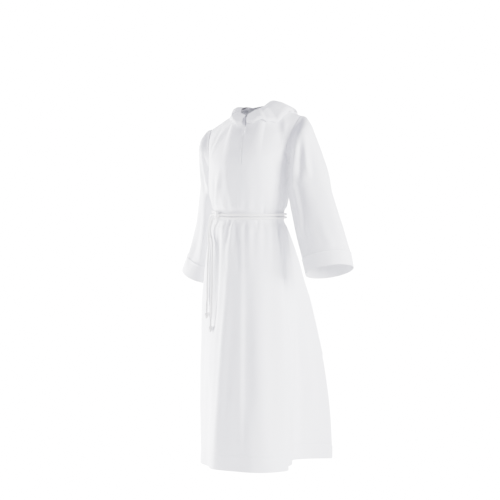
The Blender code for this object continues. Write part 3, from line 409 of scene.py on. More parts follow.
# ---- creases -------------------------------------------------------------------------------
# Soft troughs (depth below zero) and ridges along listed lines. A line runs from one
# column and height to another, bows sideways by some columns in its middle, and has its own
# width on each side, so that one side of a fold is steeper.
BODY_CREASES = (
    # from_column, height, to_column, height, bow, wide_left, wide_right, depth
    (3.90, -0.020, 3.98, -0.230,  0.00, 0.005, 0.008, -0.0036),
    (4.10, -0.100, 4.16, -0.995,  0.02, 0.009, 0.034,  0.0069),
    (3.35, -0.075, 3.10, -0.999,  0.04, 0.022, 0.012,  0.0083),
    (2.30, -0.050, 2.50, -0.455, -0.06, 0.013, 0.015, -0.0112),
    (2.05, -0.440, 2.30, -0.700,  0.05, 0.020, 0.024,  0.0049),
    (1.15, -0.160, 1.30, -0.960,  0.10, 0.020, 0.030, -0.0066),
    (0.45, -0.120, 0.40, -0.990,  0.05, 0.022, 0.022,  0.0074),
    (5.40, -0.340, 5.55, -0.960,  0.06, 0.030, 0.022,  0.0026),
    (6.30, -0.120, 6.10, -0.900, -0.10, 0.028, 0.034, -0.0049),
    (7.30, -0.180, 7.10, -0.985,  0.06, 0.026, 0.020,  0.0049),
    (8.55, -0.055, 8.95, -0.290,  0.00, 0.007, 0.010, -0.0110),
    (9.10, -0.250, 10.80, -0.480, 0.00, 0.012, 0.014, -0.0120),
    (10.80, -0.050, 10.95, -0.380, 0.05, 0.008, 0.009, 0.0055),
    (8.80, -0.430, 6.95, -0.985,  0.05, 0.014, 0.012, -0.0080),
    (10.70, -0.440, 10.20, -0.770, 0.00, 0.008, 0.010, 0.0060),
    (10.20, -0.730, 8.75, -0.985, 0.00, 0.009, 0.010,  0.0060),
    (11.00, -0.430, 10.65, -0.985, 0.04, 0.013, 0.017, -0.0090),
    (12.30, -0.420, 12.10, -0.995, 0.05, 0.012, 0.020,  0.0043),
    (13.60, -0.300, 13.40, -0.960, 0.05, 0.018, 0.022, -0.0066),
    (14.55, -0.200, 14.50, -0.990, 0.06, 0.020, 0.012,  0.0059),
    (15.60, -0.120, 15.40, -0.800, -0.1, 0.012, 0.020, -0.0083),
    (16.50, -0.260, 16.60, -0.995, 0.05, 0.016, 0.024,  0.0049),
    (17.40, -0.090, 17.70, -0.720, 0.08, 0.020, 0.012, -0.0076),
    (18.60, -0.300, 18.50, -0.980, 0.05, 0.014, 0.022,  0.0056),
    (19.55, -0.150, 19.80, -0.880, 0.06, 0.020, 0.014, -0.0069),
    (20.70, -0.200, 20.60, -0.990, 0.04, 0.015, 0.022,  0.0053),
    (7.80, 0.740, 8.28, 0.220,  0.10, 0.0065, 0.0050, -0.0079),
    (8.25, 0.700, 8.62, 0.240,  0.10, 0.0060, 0.0070,  0.0049),
    (2.60, 0.980, 1.85, 0.420,  0.12, 0.012, 0.009,  0.0056),
    (2.10, 0.900, 1.45, 0.360,  0.10, 0.010, 0.012, -0.0059),
    (1.10, 1.080, 0.95, 0.450,  0.05, 0.012, 0.014,  0.0049),
    (5.30, 1.860, 6.90, 1.500,  0.20, 0.014, 0.018, -0.0043),
    (6.40, 1.780, 7.80, 1.280,  0.30, 0.011, 0.015, -0.0056),
    (7.20, 1.820, 8.40, 1.180,  0.22, 0.010, 0.012,  0.0049),
    (7.95, 1.700, 8.60, 1.060,  0.16, 0.009, 0.010, -0.0049),
    (1.75, 1.760, 0.95, 1.260, -0.18, 0.013, 0.011, -0.0056),
    (2.60, 1.700, 1.30, 1.120, -0.20, 0.012, 0.016,  0.0040),
    (6.20, 1.150, 6.70, 0.420,  0.12, 0.018, 0.024, -0.0033),
    (3.05, 1.250, 3.20, 0.500, -0.08, 0.016, 0.014,  0.0026),
    (9.70, 1.300, 10.90, 0.500, -0.2, 0.012, 0.015, -0.0073),
    (10.30, 1.420, 12.40, 0.640, -0.3, 0.013, 0.017,  0.0059),
    (20.90, 1.300, 19.90, 0.420, 0.2, 0.012, 0.015, -0.0066),
    (20.30, 1.420, 18.60, 0.660, 0.3, 0.013, 0.017,  0.0053),
    (13.40, 1.300, 13.80, 0.420, 0.1, 0.018, 0.022, -0.0049),
    (17.60, 1.250, 17.10, 0.420, 0.1, 0.020, 0.018, -0.0049),
    (11.35, -0.300, 11.30, -0.900, 0.05, 0.012, 0.018,  0.0040),
    (4.55, -0.200, 4.70, -0.880,  0.03, 0.018, 0.028, -0.0030),
)
# Small pleats where the cincture draws the cloth in: how far they run above and below it.
GATHERS = (
    # column above  below  wide    depth
    (0.30,   0.30,  0.150, 0.0060, -0.0055),
    (0.72,   0.14,  0.060, 0.0042, -0.0034),
    (1.12,   0.26,  0.110, 0.0050, -0.0048),
    (1.55,   0.12,  0.060, 0.0040, -0.0034),
    (1.95,   0.20,  0.120, 0.0048, -0.0048),
    (2.30,   0.26,  0.060, 0.0042, -0.0041),
    (2.72,   0.13,  0.090, 0.0040, -0.0041),
    (3.12,   0.09,  0.110, 0.0046, -0.0043),
    (3.55,   0.05,  0.060, 0.0034, -0.0022),
    (4.35,   0.07,  0.045, 0.0040, -0.0017),
    (5.18,   0.05,  0.060, 0.0036, -0.0029),
    (5.66,   0.42,  0.055, 0.0042, -0.0034),
    (6.35,   0.06,  0.045, 0.0040, -0.0017),
    (7.10,   0.10,  0.070, 0.0044, -0.0029),
    (7.66,   0.07,  0.050, 0.0036, -0.0026),
    (8.20,   0.30,  0.120, 0.0050, -0.0048),
    (8.62,   0.12,  0.070, 0.0040, -0.0036),
    (9.25,   0.24,  0.130, 0.0050, -0.0053),
    (9.80,   0.13,  0.080, 0.0042, -0.0036),
    (10.40,  0.30,  0.160, 0.0054, -0.0058),
    (11.00,  0.15,  0.090, 0.0044, -0.0041),
    (11.55,  0.22,  0.120, 0.0050, -0.0050),
    (12.20,  0.34,  0.100, 0.0050, -0.0053),
    (12.75,  0.12,  0.140, 0.0044, -0.0043),
    (13.30,  0.26,  0.090, 0.0052, -0.0055),
    (13.95,  0.38,  0.150, 0.0056, -0.0058),
    (14.50,  0.14,  0.080, 0.0042, -0.0038),
    (15.05,  0.24,  0.120, 0.0050, -0.0053),
    (15.70,  0.36,  0.140, 0.0056, -0.0058),
    (16.30,  0.16,  0.090, 0.0044, -0.0041),
    (16.85,  0.28,  0.130, 0.0052, -0.0055),
    (17.45,  0.13,  0.080, 0.0042, -0.0038),
    (18.00,  0.34,  0.150, 0.0056, -0.0058),
    (18.65,  0.18,  0.100, 0.0046, -0.0046),
    (19.20,  0.28,  0.120, 0.0052, -0.0053),
    (19.85,  0.14,  0.090, 0.0044, -0.0041),
    (20.45,  0.30,  0.140, 0.0054, -0.0055),
    (21.10,  0.20,  0.100, 0.0048, -0.0048),
    (21.60,  0.12,  0.070, 0.0042, -0.0036),
)
# Creases of the sleeves: degrees round the sleeve from its outer line over the front, and the
# section where they start and end.
LEFT_SLEEVE_CREASES = (
    # from_degrees, section, to_degrees, section, bow, wide_left, wide_right, depth
    (     40,    0.10,      62,    3.20,       6,  0.0085,  0.0110, -0.0093),
    (     78,    0.10,     118,    3.60,       8,  0.0076,  0.0093, -0.0078),
    (     60,    0.20,      92,    3.20,       6,  0.0076,  0.0085,  0.0051),
    (    118,    2.60,     124,    6.60,      -8,  0.0127,  0.0102, -0.0105),
    (     96,    3.20,     108,    8.20,       6,  0.0136,  0.0119,  0.0045),
    (    140,    5.20,     136,    8.60,       4,  0.0059,  0.0076, -0.0045),
    (    150,    0.60,     166,    4.00,       6,  0.0085,  0.0102, -0.0063),
    (     66,    5.80,      48,    7.60,       6,  0.0110,  0.0136, -0.0030),
    (     20,    3.60,      30,    8.20,      -4,  0.0170,  0.0204, -0.0036),
    (    330,    0.40,     318,    4.80,      10,  0.0119,  0.0153, -0.0075),
    (    300,    0.20,     280,    3.80,       8,  0.0093,  0.0119, -0.0069),
    (    312,    1.40,     296,    6.80,       8,  0.0127,  0.0127,  0.0051),
    (    262,    1.20,     250,    5.20,       6,  0.0110,  0.0102, -0.0075),
    (    236,    3.20,     228,    8.60,      -6,  0.0136,  0.0110, -0.0060),
    (    205,    0.80,     212,    5.00,       5,  0.0093,  0.0093, -0.0054),
)
RIGHT_SLEEVE_CREASES = (
    # from_degrees, section, to_degrees, section, bow, wide_left, wide_right, depth
    (     38,    0.10,      58,    3.40,       6,  0.0085,  0.0110, -0.0075),
    (     80,    0.10,     112,    3.20,       8,  0.0076,  0.0093, -0.0069),
    (     58,    0.40,      84,    3.60,       6,  0.0085,  0.0093,  0.0045),
    (     96,    3.00,     112,    8.60,      -6,  0.0127,  0.0110, -0.0078),
    (     70,    4.20,      60,    8.80,       6,  0.0153,  0.0136,  0.0042),
    (     30,    5.60,      46,    8.70,       5,  0.0085,  0.0110, -0.0045),
    (    140,    1.00,     150,    5.40,       5,  0.0102,  0.0102, -0.0060),
    (    328,    0.40,     316,    4.60,       8,  0.0119,  0.0153, -0.0069),
    (    300,    0.20,     284,    3.80,       8,  0.0093,  0.0119, -0.0066),
    (    262,    1.20,     252,    5.60,       6,  0.0110,  0.0102, -0.0072),
    (    236,    3.00,     230,    8.60,      -6,  0.0136,  0.0110, -0.0060),
    (    206,    0.80,     212,    5.20,       5,  0.0093,  0.0093, -0.0051),
)


def crease_move(points, normals, table, place, strength=1.0):
    """How far each point of a sheet moves along its normal for a table of creases."""
    flat, facing = points.reshape(-1, 3), normals.reshape(-1, 3)
    move = np.zeros(len(flat))
    for from_column, from_height, to_column, to_height, bow, wide_left, wide_right, depth in table:
        reach = 3.0 * max(wide_left, wide_right)
        ends = np.array([place(from_column, from_height), place(to_column, to_height)])
        count = max(8, int(np.linalg.norm(ends[1] - ends[0]) / (0.4 * min(wide_left, wide_right))))
        shares = np.linspace(0, 1, min(count, 400))
        columns = [from_column + (to_column - from_column) * share + bow * math.sin(math.pi * share)
                   for share in shares]
        heights = [from_height + (to_height - from_height) * share for share in shares]
        path = np.array([place(*spot) for spot in zip(columns, heights)])
        low, high = path.min(0) - reach, path.max(0) + reach
        near = np.where(((flat > low) & (flat < high)).all(1))[0]
        if not len(near):
            continue
        apart = flat[near][:, None] - path[None]
        distance = np.linalg.norm(apart, axis=2)
        best = distance.argmin(1)
        rows = np.arange(len(near))
        along = unit(np.gradient(path, axis=0))[best]
        offset = apart[rows, best]
        offset = offset - along * np.sum(offset * along, axis=1, keepdims=True)
        side = np.sum(np.cross(facing[near], along) * offset, axis=1)
        wide = np.where(side > 0, wide_left, wide_right)
        fade = np.sin(np.pi * np.clip(shares[best], 0, 1)) ** 0.75
        past_end = (distance[rows, best] ** 2 - np.sum(offset ** 2, axis=1)).clip(0)
        ends_fade = np.exp(-(past_end / (wide * 0.8) ** 2))
        same_side = np.sum(facing[near] * facing[near][distance.argmin(0)[best]], axis=1) > 0.2
        move[near] += depth * fade * ends_fade * np.exp(-np.sum(offset ** 2, axis=1) / wide ** 2) * same_side
    return move.reshape(points.shape[:2]) * strength


def undulate(points, scale, depth, seed=0.0):
    """Low, broad unevenness of worn cloth."""
    flat = points.reshape(-1, 3)
    values = [noise.noise(Vector((p[0] / scale + seed, p[1] / scale, p[2] / scale * 0.45))) for p in flat]
    return np.array(values).reshape(points.shape[:2]) * depth


# ---- sheets of cloth -----------------------------------------------------------------------
def settings():
    """The sizes that the panel holds."""
    return bpy.context.scene.alb_sizes


def normals_of(points, closed=False):
    """Outward normals of a grid whose columns run counter-clockwise and rows run up."""
    if closed:
        along = np.roll(points, -1, axis=1) - np.roll(points, 1, axis=1)
    else:
        along = np.gradient(points, axis=1)
    return unit(np.cross(along, np.gradient(points, axis=0)))


def heights_of_rows():
    """Row heights from the hem to the shoulders, close together where there is fine work."""
    length = BELT_Z - HEM_Z
    below = [distance / length for distance in HEM_FROM_EDGE]
    drops = [1 - share for share in below]
    step = 0.0085 / length
    while drops[-1] - step > 0.13:
        drops.append(drops[-1] - step)
    fine = list(np.linspace(drops[-1], GROOVE_DROP, 30))[1:]
    drops += fine
    return ([-drop for drop in drops] + [-GROOVE_DROP / 2] + [row / TORSO_ROWS for row in range(TORSO_ROWS)]
            + [1 + row / YOKE_ROWS for row in range(YOKE_ROWS + 1)])


HEIGHTS = heights_of_rows()
UNDERARM_ROW = len(HEIGHTS) - YOKE_ROWS - 1
TOP_ROW = len(HEIGHTS) - 1
HEM_ROWS = len(HEM_FROM_EDGE)
CENTRE_COLUMN = CENTRE_FRONT * FINE
SLIT_HALF_WIDTHS = (0.0006, 0.0007, 0.0008, 0.0008, 0.0008, 0.0009, 0.0013, 0.0024, 0.0036, 0.0048)
SLIT_REACH = 0.022          # the cloth is eased aside this far from the slit


@functools.lru_cache(maxsize=None)
def base_panel(name):
    """Outer points of the front or the back before its creases."""
    first, last = (0, LEFT_SEAM * FINE) if name == "front" else (LEFT_SEAM * FINE, len(FOLDS) * FINE)
    nudge = 1e-6 if first else 0
    columns = [column / FINE + nudge for column in range(first, last + 1)]
    points = np.array([[body_point(column, height) for column in columns] for height in HEIGHTS])
    return points


@functools.lru_cache(maxsize=None)
def panel(name):
    """Finished outer points and normals of a panel, with its seams and corners."""
    points = base_panel(name)
    normals = normals_of(points)
    other = base_panel("back" if name == "front" else "front")
    other_normals = normals_of(other)
    for row in range(UNDERARM_ROW + 1):
        for mine, theirs in ((0, -1), (-1, 0)):
            normals[row, mine] = unit(normals[row, mine] + other_normals[row, theirs])
    neck = FRONT_NECK if name == "front" else BACK_NECK
    start = 0 if name == "front" else LEFT_SEAM
    corners = [round((place - start) * FINE) for place in neck]
    for low, high in ((0, corners[0]), (corners[1], points.shape[1] - 1)):
        along = unit(points[TOP_ROW, high] - points[TOP_ROW, low])
        square = unit(np.cross(along, [0, 1, 0]))
        normals[TOP_ROW, low:high + 1] = square * math.copysign(1, square[2])
    strength = settings().crease_strength
    pleats = [(column, above, column + 0.05 * math.sin(5 * column), -below, 0.03, wide, wide, depth)
              for column, above, below, wide, depth in GATHERS]
    move = crease_move(points, normals, BODY_CREASES, body_point, strength)
    move += crease_move(points, normals, pleats, body_point, strength)
    move += undulate(points, 0.07, 0.0024) + undulate(points, 0.026, 0.0007, 9.0)
    hold = np.array([smooth(abs(height) / 0.03) if height > -0.05 else 1.0 for height in HEIGHTS])
    move *= hold[:, None]
    move[0] *= 0.6
    return points + normals * move[:, :, None], normals, corners


def seam_dip(distance, depth=0.0015, width=0.0032):
    """How far cloth turns in beside a seam."""
    return -depth * np.exp(-(distance / width) ** 2)


def placket_rise(from_left):
    """How far the folded edges beside the zip stand up from the front."""
    beside = np.abs(from_left - from_left[:, CENTRE_COLUMN:CENTRE_COLUMN + 1])
    along = np.array([smooth((row - UNDERARM_ROW + 1) / 2.5) for row in range(len(from_left))])
    return 0.0012 * np.exp(-(beside / 0.0027) ** 2) * along[:, None]


@functools.lru_cache(maxsize=None)
def panel_sheet(name):
    """Outer and inner points of a panel: pulled back at its seams, thicker where its hem is turned up."""
    points, normals, corners = panel(name)
    step = np.linalg.norm(np.diff(points, axis=1), axis=2)
    from_left = np.concatenate([np.zeros((len(points), 1)), np.cumsum(step, axis=1)], axis=1)
    from_right = from_left[:, -1:] - from_left
    dip = seam_dip(from_left) + seam_dip(from_right)
    rise = np.linalg.norm(np.diff(points[UNDERARM_ROW:], axis=0), axis=2)
    down = np.concatenate([np.cumsum(rise[::-1], axis=0)[::-1], np.zeros((1, points.shape[1]))])
    shoulder = np.zeros_like(dip)
    shoulder[UNDERARM_ROW:] = seam_dip(down)
    dip += shoulder
    hem = np.array([HEM_FROM_EDGE[row] if row < HEM_ROWS else 1.0 for row in range(len(HEIGHTS))])
    dip += (-0.0012 * np.exp(-((hem - HEM_STITCH) / 0.0012) ** 2))[:, None]
    if name == "front":
        dip += placket_rise(from_left)
    outer = points + normals * dip[:, :, None]
    cloth = settings().cloth
    thick = np.where(hem < HEM_TOP, cloth * TURNED_UP, cloth)[:, None, None]
    inner = points + normals * (dip[:, :, None] - thick)
    for sheet in (outer, inner):
        for row in range(UNDERARM_ROW + 1):
            for edge, beside in ((0, 1), (-1, -2)):
                sheet[row, edge] += unit(points[row, beside] - points[row, edge]) * SEAM_GAP
        for column in list(range(0, corners[0] + 1)) + list(range(corners[1], points.shape[1])):
            away = points[TOP_ROW - 1, column] - points[TOP_ROW, column]
            sheet[TOP_ROW, column, 1] += math.copysign(SEAM_GAP, away[1])
    return outer, inner, normals


def build_shell(name, outer, inner, quads, uvs, finish):
    """Close two layers of points into one body with rounded edges. Quads run round the outside."""
    outer, inner = np.asarray(outer), np.asarray(inner)
    count = len(outer)
    points = [tuple(p) for p in outer] + [tuple(p) for p in inner]
    faces, loop_uvs, directed = [], [], {}
    for quad in quads:
        faces.append(tuple(quad))
        loop_uvs.extend(uvs[i] for i in quad)
        turned = quad[::-1]
        faces.append(tuple(i + count for i in turned))
        loop_uvs.extend(uvs[i] for i in turned)
        for start, end in zip(quad, quad[1:] + quad[:1]):
            directed[(start, end)] = True
    rim = [(a, b) for a, b in directed if (b, a) not in directed]
    out = {}
    for a, b in rim:
        along = unit(outer[b] - outer[a])
        facing = unit((outer[a] - inner[a]) + (outer[b] - inner[b]))
        sideways = np.cross(along, facing)
        for i in (a, b):
            out[i] = out.get(i, 0) + sideways
    middle = {}
    for i, sideways in out.items():
        middle[i] = len(points)
        thick = np.linalg.norm(outer[i] - inner[i])
        points.append(tuple((outer[i] + inner[i]) / 2 + unit(sideways) * thick * 0.42))
    for a, b in rim:
        for face in ((b, a, middle[a], middle[b]), (middle[b], middle[a], a + count, b + count)):
            faces.append(face)
            loop_uvs.extend((uvs[b], uvs[a], uvs[a], uvs[b]))
    mesh = bpy.data.meshes.new(name)
    mesh.from_pydata(points, [], faces)
    layer = mesh.uv_layers.new(name="cloth")
    layer.data.foreach_set("uv", np.array(loop_uvs, float).reshape(-1))
    return link_piece(name, mesh, finish)


def grid_quads(rows, columns, closed=False, flip=False):
    """Quads of a grid of points counted row by row."""
    quads = []
    for row in range(rows - 1):
        for column in range(columns if closed else columns - 1):
            beside = (column + 1) % columns
            quad = (row * columns + column, row * columns + beside,
                    (row + 1) * columns + beside, (row + 1) * columns + column)
            quads.append(quad[::-1] if flip else quad)
    return quads


def cloth_uvs(points, middle=None):
    """Sizes in metres along the warp and the weft for each point of a grid."""
    step = np.linalg.norm(np.diff(points, axis=1), axis=2)
    across = np.concatenate([np.zeros((len(points), 1)), np.cumsum(step, axis=1)], axis=1)
    middle = points.shape[1] // 2 if middle is None else middle
    across = across - across[:, middle:middle + 1]
    rise = np.linalg.norm(np.diff(points[:, middle], axis=0), axis=1)
    up = np.concatenate([[0], np.cumsum(rise)])
    return np.stack([across, np.broadcast_to(up[:, None], across.shape)], axis=2).reshape(-1, 2)


def ease_slit(sheet, half_widths):
    """Open the zip's slit in a sheet of the front: the columns beside it move aside."""
    opened_left, opened_right = {}, {}
    for row in range(UNDERARM_ROW + 1, TOP_ROW + 1):
        line = sheet[row].copy()
        place = lengths_along(line)
        place = place - place[CENTRE_COLUMN]
        half = half_widths[row]
        for column in range(len(line)):
            distance = abs(place[column])
            if distance >= SLIT_REACH:
                continue
            eased = half + distance * (SLIT_REACH - half) / SLIT_REACH
            for side in ((-1, 1) if column == CENTRE_COLUMN else (math.copysign(1, place[column]),)):
                moved = at_lengths(line, place, side * eased)
                if column != CENTRE_COLUMN:
                    sheet[row, column] = moved
                elif side < 0:
                    opened_left[row] = moved
                else:
                    opened_right[row] = moved
    return opened_left, opened_right


def slit_half_widths():
    """Half of the slit's width at each row of the front."""
    marks = np.linspace(0, YOKE_ROWS, len(SLIT_HALF_WIDTHS))
    return {row: float(np.interp(row - UNDERARM_ROW, marks, SLIT_HALF_WIDTHS))
            * smooth((row - UNDERARM_ROW) / 2.0) for row in range(UNDERARM_ROW + 1, TOP_ROW + 1)}


def build_front(finish):
    """The front panel with its hem, seams and slit."""
    outer, inner, _ = panel_sheet("front")
    rows, columns = outer.shape[:2]
    uvs = cloth_uvs(outer, CENTRE_COLUMN)
    half_widths = slit_half_widths()
    slit_outer = ease_slit(outer, half_widths)
    slit_inner = ease_slit(inner, half_widths)
    outer_points, inner_points = list(outer.reshape(-1, 3)), list(inner.reshape(-1, 3))
    uvs = [tuple(uv) for uv in uvs]
    right_copy = {}
    for row in range(UNDERARM_ROW + 1, TOP_ROW + 1):
        place = row * columns + CENTRE_COLUMN
        outer_points[place], inner_points[place] = slit_outer[0][row], slit_inner[0][row]
        right_copy[place] = len(outer_points)
        outer_points.append(slit_outer[1][row])
        inner_points.append(slit_inner[1][row])
        uvs.append(uvs[place])
    quads = []
    for index, quad in enumerate(grid_quads(rows, columns)):
        if index % (columns - 1) >= CENTRE_COLUMN:
            quad = tuple(right_copy.get(i, i) for i in quad)
        quads.append(quad)
    return build_shell("front_cloth", outer_points, inner_points, quads, uvs, finish)


def build_back(finish):
    """The back panel with its hem and seams."""
    outer, inner, _ = panel_sheet("back")
    uvs = [tuple(uv) for uv in cloth_uvs(outer)]
    quads = grid_quads(*outer.shape[:2])
    return build_shell("back_cloth", outer.reshape(-1, 3), inner.reshape(-1, 3), quads, uvs, finish)


# ---- sleeves -------------------------------------------------------------------------------
def sleeve_ring(side, place, around):
    """A point of a sleeve. place counts its sections, around is in degrees over the front."""
    inner_x, inner_z, outer_x, outer_z, y, depth, drop = section_sizes(side, place)
    middle = np.array([(inner_x + outer_x) / 2, y, (inner_z + outer_z) / 2])
    out = np.array([outer_x - inner_x, 0, outer_z - inner_z]) / 2
    turn = math.radians(around)
    hollow = 0.0
    for centre, width, deep, first, last in SLEEVE_HOLLOWS:
        apart = (around - centre + 180) % 360 - 180
        length = smooth((place - first) / 1.2) * smooth((last - place) / 1.2)
        hollow += deep * length * math.exp(-(apart / width) ** 2)
    backwards = np.array([0, depth, -drop])
    shrink = 1 - hollow / depth
    return middle + (out * math.cos(turn) - backwards * math.sin(turn)) * shrink


@functools.lru_cache(maxsize=None)
def section_sizes(side, place):
    """Sizes of a sleeve's cross section at a fractional place."""
    sections = SLEEVE_LEFT if side > 0 else SLEEVE_RIGHT
    return tuple(through([row[index] for row in sections], place) for index in range(1, 8))


def armhole(side):
    """The armhole's outer and inner points and outward directions, from the shoulder forwards."""
    front, back = panel_sheet("front"), panel_sheet("back")

    def edge(sheet, at_start):
        column = 0 if at_start else -1
        return sheet[0][UNDERARM_ROW:, column], sheet[1][UNDERARM_ROW:, column]

    front_outer, front_inner = edge(front, side < 0)
    back_outer, back_inner = edge(back, side > 0)
    outer = np.concatenate([front_outer[::-1], back_outer[1:-1]])
    inner = np.concatenate([front_inner[::-1], back_inner[1:-1]])
    low = len(front_outer) - 1
    for ring, front_end, back_end in ((outer, front_outer, back_outer), (inner, front_inner, back_inner)):
        ring[0] = (front_end[-1] + back_end[-1]) / 2
        ring[low] = (front_end[0] + back_end[0]) / 2
    along = np.roll(outer, -1, axis=0) - np.roll(outer, 1, axis=0)
    away = unit(np.cross(along, outer - inner)) * -side
    return outer, inner, away


def along_rings(rings, marks):
    """Rings between control rings, on smooth curves timed by the mean distance between them."""
    rings = np.asarray(rings)
    gaps = np.linalg.norm(np.diff(rings, axis=0), axis=2).mean(1)
    slopes = np.zeros_like(rings)
    steps = np.diff(rings, axis=0) / gaps[:, None, None]
    slopes[0], slopes[-1] = steps[0], steps[-1]
    for index in range(1, len(rings) - 1):
        before, after = gaps[index - 1], gaps[index]
        slopes[index] = (steps[index - 1] * after + steps[index] * before) / (before + after)
    made = []
    for mark in marks:
        index = min(int(mark), len(rings) - 2)
        part, gap = mark - index, gaps[index]
        square, cube = part * part, part ** 3
        made.append((2 * cube - 3 * square + 1) * rings[index]
                    + (cube - 2 * square + part) * gap * slopes[index]
                    + (3 * square - 2 * cube) * rings[index + 1]
                    + (cube - square) * gap * slopes[index + 1])
    return np.array(made)


@functools.lru_cache(maxsize=None)
def sleeve_points(side):
    """Outer points and normals of a sleeve from its armhole to its cuff, and each row's section."""
    sections = SLEEVE_LEFT if side > 0 else SLEEVE_RIGHT
    ring, _, away = armhole(side)
    count = len(ring)
    first = ring + away * SLEEVE_GAP
    rings = [first, first + np.array([SLEEVE_HEAD * side, 0, 0.0004])]
    for place in range(len(sections)):
        rings.append([sleeve_ring(side, place, 360 * column / count) for column in range(count)])
    marks = list(np.linspace(0, 1, 5)[:-1]) + list(np.linspace(1, 2, 12)[:-1])
    for section in range(2, len(rings) - 2):
        marks += list(np.linspace(section, section + 1, 9)[:-1])
    last = len(rings) - 2
    marks += [last + share for share in (0, 0.012, 0.03, 0.05, 0.075, 0.12, 0.22, 0.34, 0.48, 0.62, 0.76,
                                         0.88, 0.96, 0.99, 1.0)]
    points = along_rings(rings, marks)
    normals = normals_of(points, closed=True) * -side
    table = LEFT_SLEEVE_CREASES if side > 0 else RIGHT_SLEEVE_CREASES

    def place_on(around, section):
        return sleeve_ring(side, section, around)

    move = crease_move(points, normals, table, place_on, settings().crease_strength)
    move += undulate(points, 0.06, 0.0014, 3.0) + undulate(points, 0.022, 0.0005, 5.0)
    head = np.array([smooth((mark - 0.4) / 1.2) for mark in marks])
    move *= head[:, None]
    points = points + normals * move[:, :, None]
    return points, normals_of(points, closed=True) * -side, marks


def sleeve_sheet(side):
    """Outer and inner points of a sleeve with its set-in seam and its turned-up hem."""
    points, normals, marks = sleeve_points(side)
    marks = np.array(marks)
    from_head = np.linalg.norm(points - points[0], axis=2)
    dip = seam_dip(from_head)
    dip = dip - (0.0012 * np.exp(-((marks - CUFF_BAND) / 0.028) ** 2))[:, None]
    outer = points + normals * dip[:, :, None]
    cloth = settings().cloth
    thick = np.where(marks > CUFF_BAND - 0.012, cloth * TURNED_UP, cloth)[:, None, None]
    inner = points + normals * (dip[:, :, None] - thick)
    return outer, inner


def build_sleeve(name, side, finish):
    """A wide sleeve, open at both ends."""
    outer, inner = sleeve_sheet(side)
    rows, columns = outer.shape[:2]
    wrapped = np.concatenate([outer, outer[:, :1]], axis=1)
    uvs = cloth_uvs(wrapped, columns // 4).reshape(rows, columns + 1, 2)[:, :columns].reshape(-1, 2)
    quads = grid_quads(rows, columns, closed=True, flip=side < 0)
    uvs = [tuple(uv) for uv in uvs]
    return build_shell(name, outer.reshape(-1, 3), inner.reshape(-1, 3), quads, uvs, finish)


# ---- hood ----------------------------------------------------------------------------------
def grid_tree(*grids):
    """Grids of points as one surface that can be asked for its nearest point."""
    points, faces = [], []
    for grid in grids:
        rows, columns = grid.shape[:2]
        start = len(points)
        points.extend(Vector(point) for point in grid.reshape(-1, 3))
        for a, b, c, d in grid_quads(rows, columns):
            faces.extend(((a + start, b + start, c + start), (a + start, c + start, d + start)))
    return BVHTree.FromPolygons(points, faces)


def lift(tree, point, clear):
    """A point moved out of a surface until it is clear of it by a given distance."""
    near, normal, _, distance = tree.find_nearest(Vector(point))
    near, normal = np.array(near), np.array(normal)
    outside = float(np.dot(point - near, normal)) > 0
    if outside and distance >= clear:
        return np.array(point)
    return near + normal * clear


def neck_column(angle):
    """The body's column that meets the neckline at an angle."""
    if abs(angle) <= 90:
        return CENTRE_FRONT + angle / 90 * (FRONT_NECK[1] - CENTRE_FRONT)
    share = (angle - 90) / 180 if angle > 0 else (angle + 270) / 180
    return BACK_NECK[0] + share * (BACK_NECK[1] - BACK_NECK[0])


def body_normal(column, height):
    """Outward normal of the body's surface."""
    step = 0.02
    front = column <= LEFT_SEAM
    first, last = (RIGHT_SEAM, LEFT_SEAM) if front else (LEFT_SEAM + 1e-6, len(FOLDS))
    before, after = max(column - step, first), min(column + step, last)
    low, high = max(height - step, -1.0), min(height + step, 2.0)
    along = body_point(after, height) - body_point(before, height)
    return unit(np.cross(along, body_point(column, high) - body_point(column, low)))


def hood_sizes(angle):
    """The hood's fold and face edge at an angle round the neck, and the gape of its gutter."""
    side = 1 if angle >= 0 else -1
    place = float(np.interp(abs(angle), [row[0] for row in HOOD], range(len(HOOD))))
    fold_x, fold_y, fold_z, edge_x, edge_y, edge_z, gape = (
        through([row[index] for row in HOOD], place) for index in range(1, 8))
    narrow = 1 - HOOD_NARROW * math.sin(math.radians(abs(angle))) if side < 0 else 1
    fold = np.array([NECK_SHIFT + fold_x * side * narrow, fold_y, fold_z])
    edge = np.array([NECK_SHIFT + edge_x * side, edge_y, edge_z])
    for point in (fold, edge):
        point[2] += HOOD_TILT * point[0]
    return fold, edge, gape


HOOD_ANGLES = (*range(5, 30, 5), *range(30, 181, 6))
HOOD_ROWS_FOR_EACH = 6


